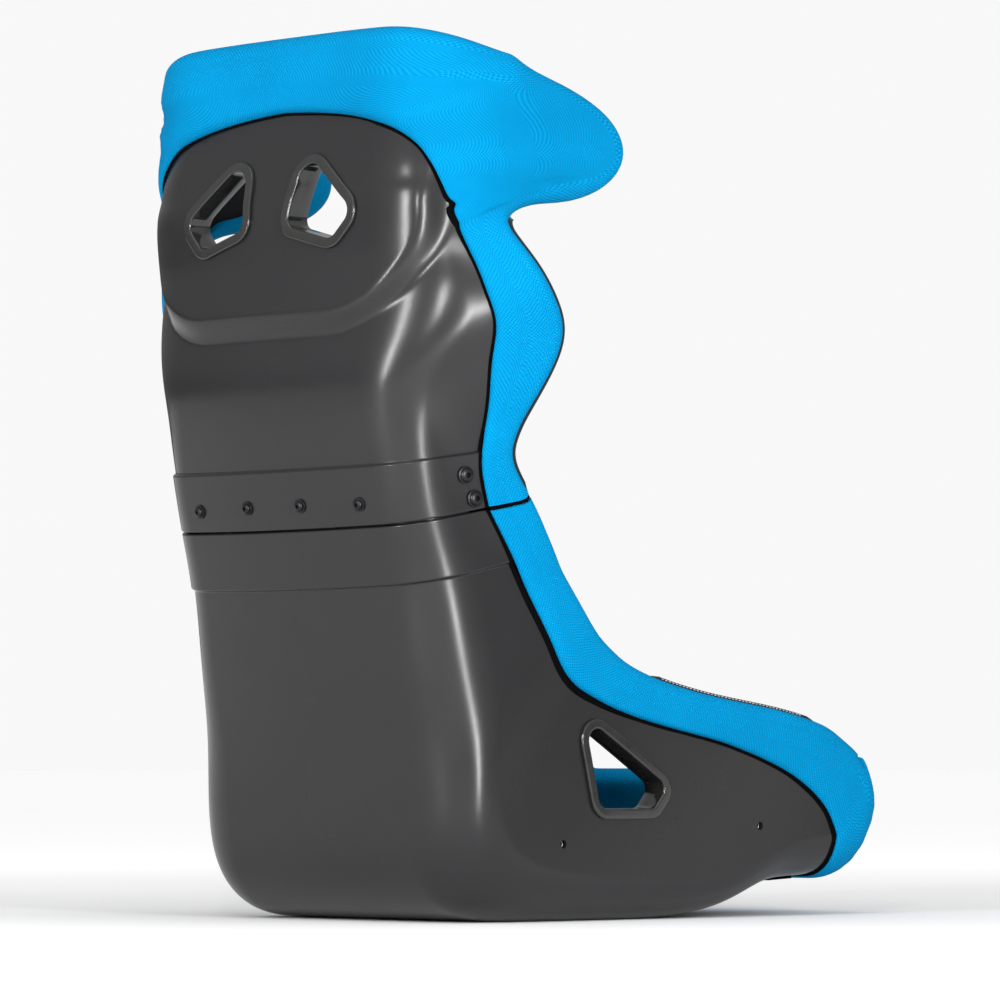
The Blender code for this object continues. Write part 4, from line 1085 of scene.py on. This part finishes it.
def lathe(profile, n=48):
    """Closed turned mesh, in mm round +Z: the profile is a loop off the axis, or runs from the axis back to it."""
    a = np.arange(n) * 2 * math.pi / n
    prof = np.array(profile, float)
    on_axis = prof[0][0] < 1e-6
    if on_axis:
        ring = prof[1:-1]
    else:
        ring = prof
    pts = np.stack([ring[None, :, 0] * np.cos(a)[:, None], ring[None, :, 0] * np.sin(a)[:, None],
                    np.broadcast_to(ring[None, :, 1], (n, len(ring)))], -1).reshape(-1, 3)
    k = len(ring)
    i, j = np.arange(n)[:, None] * k, np.arange(k - 1 if on_axis else k)[None]
    nx = (i + k) % (n * k)
    q = np.stack(np.broadcast_arrays(i + j, i + (j + 1) % k, nx + (j + 1) % k, nx + j), -1).reshape(-1, 4)
    tri = []
    if on_axis:
        pts = np.concatenate([pts, [[0, 0, prof[0][1]], [0, 0, prof[-1][1]]]])
        s = np.arange(n)
        tri = np.concatenate([np.stack([np.full(n, n * k), s * k, ((s + 1) % n) * k], -1),
                              np.stack([np.full(n, n * k + 1), ((s + 1) % n) * k + k - 1, s * k + k - 1], -1)])
    return pts, [q, tri]


def arc_profile(pts, r, steps=4):
    """Profile with each inner corner rounded to r."""
    pts = [np.array(p, float) for p in pts]
    out = [pts[0]]
    for a, b, c in zip(pts, pts[1:], pts[2:]):
        l1, l2 = np.linalg.norm(a - b), np.linalg.norm(c - b)
        rr = min(r, .45 * l1, .45 * l2)
        s, e_ = b + (a - b) / l1 * rr, b + (c - b) / l2 * rr
        for q in np.linspace(0, 1, steps):
            out.append((1 - q) ** 2 * s + 2 * q * (1 - q) * b + q * q * e_)
    out.append(pts[-1])
    return [tuple(p) for p in out]


def hexagon(af, n=6, chamfer=0.0):
    r = af / math.sqrt(3)
    return np.array([(r * math.cos(a), r * math.sin(a)) for a in np.arange(6) * math.pi / 3])


def bolt_mesh(name, profile, af, depth, top, mat):
    pts, faces = lathe(arc_profile(profile, .5), 56)
    ob = build(name, pts / 1000, faces, mat, smooth=40)
    h = hexagon(af)
    loops = np.stack([np.concatenate([h, np.full((6, 1), top - depth)], 1), np.concatenate([h, np.full((6, 1), top + 3)], 1)])
    c = tube('hex', loops / 1000, None, world=True, smooth=0)
    boolean(ob, c)
    bpy.data.objects.remove(c, do_unlink=True)
    me = ob.data
    bpy.data.objects.remove(ob, do_unlink=True)
    me.materials.clear()
    me.materials.append(mat)
    me.shade_smooth()
    me.set_sharp_from_angle(angle=math.radians(40))
    return me


def place(name, me, m, nodes, slot):
    ob = bpy.data.objects.new(name, me.copy())
    ob.data.transform(m)
    bpy.context.scene.collection.objects.link(ob)
    return seat_piece(ob, nodes)


small_bolt = bolt_mesh('small_bolt', ((0, 5.5), (2.8, 5.45), (4.3, 4.7), (5.2, 3.4), (5.4, 2.2), (2.9, 2.15), (2.9, -13.2), (0, -13.2)), 4.0, 2.4, 5.5, STEEL)
big_bolt = bolt_mesh('big_bolt', ((0, 6.4), (3.6, 6.35), (5.9, 5.5), (7.0, 3.9), (7.3, 2.7), (8.9, 2.3), (8.9, .8), (3.9, .8), (3.9, -13.6), (0, -13.6)),
                     5.2, 3.2, 6.4, STEEL)
pts, faces = lathe(arc_profile(((3.3, 1.2), (3.3, .5), (7.2, .5), (7.2, 1.9), (3.3, 1.9), (3.3, 1.2)), .25)[:-1], 56)
_w = build('washer', pts / 1000, faces, STEEL, smooth=40)
washer = _w.data
bpy.data.objects.remove(_w, do_unlink=True)


def nut_mesh(name, bore, af_r, low, high):
    """Hexagon nut with chamfered corners and a round bore."""
    n = 48
    a = (np.arange(n) + .0) * 2 * math.pi / n
    hexr = af_r * math.cos(math.pi / 6) / np.cos((a + math.pi / 6) % (math.pi / 3) - math.pi / 6)
    cham = np.minimum(hexr, af_r * .93)
    rows = [(np.full(n, bore), low + .5), (np.full(n, bore + .5), low), (cham, low), (hexr, low + .6), (hexr, high - .6), (cham, high),
            (np.full(n, bore + .5), high), (np.full(n, bore), high - .5)]
    loops = np.stack([np.stack([r * np.cos(a), r * np.sin(a), np.full(n, float(h))], -1) for r, h in rows], 1)
    ob = tube(name, loops / 1000, ZINC, closed=True, world=True, smooth=30)
    me = ob.data
    bpy.data.objects.remove(ob, do_unlink=True)
    return me


small_nut, big_nut = nut_mesh('small_nut', 3.6, 6.2, -12.9, -9.8), nut_mesh('big_nut', 4.8, 8.0, -13.1, -9.6)
pts, faces = lathe(arc_profile(((4.0, -7.6), (4.0, -TH - .9), (12.0, -TH - .9), (12.0, -TH - 4.9), (4.0, -TH - 4.9), (4.0, -7.6)), .4)[:-1], 48)
_w = build('insert', pts / 1000, faces, ZINC, smooth=40)
insert = _w.data
bpy.data.objects.remove(_w, do_unlink=True)


def drill(p, n, radius, targets):
    m = frame_at(p, n)
    a = np.arange(32) * 2 * math.pi / 32
    ring = np.stack([radius * np.cos(a), radius * np.sin(a), 0 * a], -1) / 1000
    loops = np.stack([ring + [0, 0, -.016], ring + [0, 0, .008]])
    c = tube('c', loops, None, world=True, smooth=0)
    c.data.transform(m)
    targets.append(c)


for i in range(4):
    x = (i - 1.5) * BOLT_PITCH
    t, s = locate(abs(x), BOLT_Z, False)
    s = math.copysign(s, x)
    p, n = pos(t, s, 0), normal(t, np.array(s))
    tag, m = str(i + 1), frame_at(p, n)
    turn = Matrix.Rotation(math.radians((17, 41, 5, 33)[i]), 4, 'Z')
    place('band_bolt_%s_turned' % tag, small_bolt, m @ turn, ('band_bolt_' + tag,), 'black_steel')
    place('band_washer_%s_turned' % tag, washer, m, ('band_washer_' + tag,), 'black_steel')
    place('band_nut_%s_milled' % tag, small_nut, m @ turn, ('band_nut_' + tag,), 'zinc_steel')
    drill(p, n, 3.1, cut_up)
for tag, sg in (('right', -1), ('left', 1)):
    for j, (f, z) in enumerate(SIDE_BOLTS):
        t, s = locate(f, z, True)
        p, n = pos(t, s * sg, 0), normal(t, np.array(s * sg))
        m = frame_at(p, n)
        turn = Matrix.Rotation(math.radians((12, 38)[j]), 4, 'Z')
        place('side_bolt_%s_%d_turned' % (tag, j + 1), big_bolt, m @ turn, ('side_bolt_%s_%d' % (tag, j + 1),), 'black_steel')
        place('side_nut_%s_%d_milled' % (tag, j + 1), big_nut, m @ turn, ('side_nut_%s_%d' % (tag, j + 1),), 'zinc_steel')
        drill(p, n, 4.1, cut_up)
    for j, (f, z) in enumerate(SIDE_MOUNTS):
        t, s = locate(f, z, True)
        p, n = pos(t, s * sg, 0), normal(t, np.array(s * sg))
        where = tag + '_' + ('rear', 'front')[j]
        place('mount_insert_%s_turned' % where, insert, frame_at(p, n), ('mount_insert_' + where,), 'zinc_steel')
        drill(p, n, 4.4, cut_lo)

up_cutter, lo_cutter = join('up_cutter', cut_up), join('lo_cutter', cut_lo)
for ob_, c_ in ((upper, up_cutter), (up_lining, up_cutter), (lower, lo_cutter), (lo_lining, lo_cutter), (splice, up_cutter)):
    boolean(ob_, c_)
    ob_.data.shade_smooth()
    ob_.data.set_sharp_from_angle(angle=math.radians(38))
seat_piece(upper, ('upper_shell',))
seat_piece(lower, ('lower_shell',))
seat_piece(splice, ('splice_band',))
seat_piece(up_lining, ())
seat_piece(lo_lining, ())

# ---------------------------------------------------------------- cushions in place
K = at_k
cushion('seat_cushion_pad', 'seat_cushion', K(10.5), K(6.1), -.325, .325, 24, under=1.8, body='seat_cushion',
        channels=(-.45, 0.0, .45), cut_=crotch_cut)
cushion('thigh_cushion_pad', 'thigh_cushion', K(5.95), K(3.4), -.325, .325, 34, under=2.6, body='thigh_cushion',
        channels=(-.3, .3))
cushion('lumbar_pad_cover', 'lumbar_pad', K(14.6), K(18.9), -.36, .36, 26, under=1.4, dome=8.0, body='lumbar_pad',
        channels=(-.55, -.18, .18, .55))
cushion('back_pad_cover', 'back_pad', K(19.2), K(25.6), -.36, .36, 22, under=1.8, body='back_pad',
        channels=(-.66, -.33, 0.0, .33, .66))
cushion('head_pad_cover', 'head_pad', K(32.95), K(35.5), -.23, .23, 18, under=1.4, channels=(), swell=.003)
for tag, sg in (('right', -1), ('left', 1)):
    lo_s, hi_s = sorted((sg * .47, sg * .76))
    cushion('head_side_pad_%s_cover' % tag, 'head_side_pad_' + tag, K(29.9), K(34.4), lo_s, hi_s, 18, under=1.7, channels=(), swell=.003)


def bolster(name, node_, k0, k1, w0, thick, rise, sign, seat_in=9.5, cutter=None, seam_c=.40):
    t0, t1 = at_k(k0), at_k(k1)
    nv = int(abs(t1 - t0) / 3.4)
    v = .5 - .5 * np.cos(np.linspace(0, math.pi, nv)) * .25 + .75 * (np.linspace(0, 1, nv) - .5)
    v = (v - v[0]) / (v[-1] - v[0])
    c = np.concatenate([np.linspace(0, .06, 4), np.linspace(.09, .94, 36), np.linspace(.96, 1, 4)])

    def points(v, c):
        tt = t0 + (t1 - t0) * v
        vv = 2 * v - 1
        w_at = np.minimum(w0 + (1 - w0) * c / .60, 1.0)
        beyond = np.maximum(c - .60, 0) / .40 * rise
        tan = unit(base(tt, 1.0) - base(tt, .97))
        over = smoothstep(.25, .45, c)
        round_v = np.maximum(1 - np.abs(vv) ** 6, 0) ** .5
        under = 3.4 + 3.4 * smoothstep(.1, .5, round_v) * smoothstep(0, .06, c)
        under = np.maximum(under, over * seat_in)
        round_c = np.maximum(1 - np.abs(2 * c - 1) ** 4, 0) ** .5
        low = -TH - under
        top = np.minimum(-TH - under - 3.0, -TH - 4.0 - (thick - 4.0) * round_c * round_v)
        return [(pos(tt, w_at, n, 0) + beyond[..., None] * tan) * [sign, 1, 1] for n in (low, top)]

    vv_, cc_ = np.meshgrid(v, c, indexing='ij')
    lo_, hi_ = points(vv_, cc_)
    ob = slab(name, lo_, hi_, BLACK)
    if cutter:
        boolean(ob, cutter)
    puff(ob, swell=.0025, pressure=3.0)
    q = np.linspace(.05, .95, 200)
    line = to_world(points(q, np.full(200, seam_c))[1])
    groove(ob, [line], .006, .0022)
    add_uv(ob)
    seat_piece(ob, (node_,))
    tree = bvh_of(ob)
    at, no = snapped(line, tree)
    keep = np.linalg.norm(np.diff(at, axis=0, prepend=at[:1]), axis=1) < .02
    st = stitches(name + '_stitching', [(at[keep], no[keep])], THREAD)
    seat_piece(st, ())
    return ob


for tag, sg in (('right', -1), ('left', 1)):
    bolster('shoulder_pad_%s_cover' % tag, 'shoulder_pad_' + tag, 18.15, 26.6, .44, 24, 14.5, sg)
    bolster('hip_pad_%s_cover' % tag, 'hip_pad_' + tag, 17.85, 4.7, .44, 22, 18.5, sg, cutter=pad_cuts[tag])
for c_ in (up_cutter, lo_cutter, crotch_cut, *pad_cuts.values()):
    bpy.data.objects.remove(c_, do_unlink=True)


# ---------------------------------------------------------------- welts along the trims
def welt(name, path, k0, k1, radius, stitched=False):
    """Black piping sewn along the inner side of a trim's crest, where the blue meets the black bolster."""
    half = trim_loops(path)
    half = smoothed(half.reshape(len(half), -1), 2).reshape(half.shape)
    ks = np.interp(path[:, 0], TK, np.arange(len(TK)))
    pick = np.where((ks >= min(k0, k1)) & (ks <= max(k0, k1)))[0]
    away = np.array([-math.sqrt(.5), math.sqrt(.5), 0])      # along the view from behind, on the +X side
    mid = half.mean(1)
    run_ = unit(smoothed(np.gradient(mid, axis=0), 4))
    out_ = np.cross(run_, away)
    rim_ = base(path[:, 0], path[:, 1])
    out_ *= np.sign(((rim_ - base(path[:, 2], path[:, 3])) * out_).sum(1, keepdims=True))
    out_ = unit(out_)
    reach_ = ((half - rim_[:, None]) * out_[:, None]).sum(2)
    top_ = half[np.arange(len(half)), reach_.argmax(1)]
    far_ = rim_ + out_ * reach_.max(1)[:, None] + away * ((top_ - rim_) * away).sum(1, keepdims=True)
    centre = smoothed(far_ + away * 4.5 - out_ * .4, 3)[pick]
    o_, w_ = out_[pick], np.broadcast_to(away, out_[pick].shape)
    n_ = len(pick)
    grow = np.interp(np.arange(n_), [0, 3, n_ - 4, n_ - 1], [.15, 1, 1, .15])
    ang = np.linspace(0, 2 * math.pi, 15)[:-1]
    rr = np.asarray(radius(ks[pick]) * grow)[:, None, None]
    rings = centre[:, None] + rr * (np.cos(ang)[None, :, None] * o_[:, None] + 1.5 * np.sin(ang)[None, :, None] * w_[:, None])
    thread_at = centre + o_ * rr[:, 0] * .55 - w_ * rr[:, 0] * 1.3
    for tag, sg in (('left', 1), ('right', -1)):
        seat_piece(tube(name + '_' + tag, rings * [sg, 1, 1], BLACK, smooth=60), ())
        if stitched:
            seat_piece(stitches(name + '_stitching_' + tag, [(to_world(thread_at * [sg, 1, 1])[4:-4], unit(to_world((centre - w_) * [sg, 1, 1]) - to_world(centre * [sg, 1, 1]))[4:-4])], THREAD), ())


welt('shoulder_welt', upper_path, 18.06, 27.9, lambda k: 3.0 + 2.2 * smoothstep(26.6, 27.7, k))
welt('thigh_welt', lower_path, 8.6, 4.3, lambda k: 3.0 + 0 * k, True)


tt, ss = np.meshgrid(at_k(np.linspace(3.5, 3.95, 12)), np.linspace(-.34, .34, 90), indexing='ij')
seat_piece(slab('front_closing_strip_webbing', pos(tt, ss, 4.0), pos(tt, ss, 1.6), BLACK_BINDING_AND_SHADOW, surface_uv(tt, ss)), ('front_closing_strip',))

for nname, ob_ in frame['nodes'].items():
    if not ob_.hide_render:
        ob_.data.materials.clear()
        ob_.data.materials.append(ZINC if 'nut' in nname or 'insert' in nname else SHELL)

# ---------------------------------------------------------------- camera, floor and light
cam = bpy.data.objects.new('camera', bpy.data.cameras.new('camera'))
bpy.context.scene.collection.objects.link(cam)
cam.location = (-4.1903, 4.2008, .160)
cam.data.lens, cam.data.sensor_width = 203.4, 36.0
tilt = math.radians(2.665)
look = Vector((math.cos(tilt) * math.sqrt(.5), -math.cos(tilt) * math.sqrt(.5), math.sin(tilt)))
cam.rotation_mode = 'QUATERNION'
cam.rotation_quaternion = look.to_track_quat('-Z', 'Y')
cam.data.clip_end = 300
bpy.context.scene.camera = cam

FLOOR_FAR_GLOW = .40


def node_axis(nt, coords, i):
    n = nt.nodes.new('ShaderNodeSeparateXYZ')
    nt.links.new(coords, n.inputs[0])
    return n.outputs[i]


fl = bpy.data.meshes.new('floor')
g = 90.0
fl.from_pydata([(-g, -g, 0), (g, -g, 0), (g, g, 0), (-g, g, 0)], [], [(0, 1, 2, 3)])
floor = bpy.data.objects.new('floor', fl)
floor.location.z = -.0004
bpy.context.scene.collection.objects.link(floor)
m, nt, b = new_material('studio_floor')
oc = object_coords(nt)
nt.links.new(mix_colour(nt, noise(nt, .6, 2.0, oc), (.86, .86, .865), (.90, .90, .90)), b.inputs['Base Color'])
# painted light: the floor glows, with none beside the seat and rising to a set strength three metres out, so the far
# floor is as bright as the backdrop
b.inputs['Emission Color'].default_value = (1, 1, 1, 1)
far = math_node(nt, 'SQRT', math_node(nt, 'ADD', math_node(nt, 'POWER', node_axis(nt, oc, 0), 2.0), math_node(nt, 'POWER', node_axis(nt, oc, 1), 2.0)))
nt.links.new(map_range(nt, far, .2, 3.0, .0, FLOOR_FAR_GLOW), b.inputs['Emission Strength'])
b.inputs['Roughness'].default_value = .9
b.inputs['Specular IOR Level'].default_value = .1
fl.materials.append(m)

world = bpy.data.worlds.new('studio')
bpy.context.scene.world = world
world.use_nodes = True
nt = world.node_tree
nt.nodes.clear()
out_ = nt.nodes.new('ShaderNodeOutputWorld')
seen, felt, mixer = (nt.nodes.new(k) for k in ('ShaderNodeBackground', 'ShaderNodeBackground', 'ShaderNodeMixShader'))
path_ = nt.nodes.new('ShaderNodeLightPath')
seen.inputs[0].default_value = (.94, .94, .94, 1)
geo = nt.nodes.new('ShaderNodeTexCoord')
sep = nt.nodes.new('ShaderNodeSeparateXYZ')
nt.links.new(geo.outputs['Generated'], sep.inputs[0])
# brighter behind the seat and above it, darker in front of it
facing = math_node(nt, 'SUBTRACT', math_node(nt, 'MULTIPLY', sep.outputs[1], .7071), math_node(nt, 'MULTIPLY', sep.outputs[0], .7071))
level = math_node(nt, 'ADD', map_range(nt, facing, -.35, 1, .06, .80), map_range(nt, sep.outputs[2], 0, .25, 0, .35))
nt.links.new(level, felt.inputs[1])
felt.inputs[0].default_value = (1, 1, 1, 1)
nt.links.new(path_.outputs['Is Camera Ray'], mixer.inputs[0])
nt.links.new(felt.outputs[0], mixer.inputs[1])
nt.links.new(seen.outputs[0], mixer.inputs[2])
nt.links.new(mixer.outputs[0], out_.inputs[0])


def softbox(name, az, el, distance, width, height, power, at=(0, .05, .45)):
    """Rectangular light that looks at the seat from an azimuth measured from +X towards +Y."""
    a, e_ = math.radians(az), math.radians(el)
    d = Vector((math.cos(a) * math.cos(e_), math.sin(a) * math.cos(e_), math.sin(e_)))
    l = bpy.data.lights.new(name, 'AREA')
    l.shape, l.size, l.size_y, l.energy = 'RECTANGLE', width, height, power
    o = bpy.data.objects.new(name, l)
    o.location = Vector(at) + d * distance
    o.rotation_mode = 'QUATERNION'
    o.rotation_quaternion = (-d).to_track_quat('-Z', 'Y')
    bpy.context.scene.collection.objects.link(o)
    o.visible_camera = False
    return o


softbox('strip_right', 160, 2, 3.2, .22, 1.8, 72)
softbox('strip_back', 100, 12, 3.4, .14, 1.6, 52)
softbox('strip_shoulder', 131, 14, 3.3, .10, .5, 20)
softbox('overhead', 130, 72, 3.0, 2.2, 2.2, 16)
bpy.context.scene.view_settings.view_transform = 'Standard'
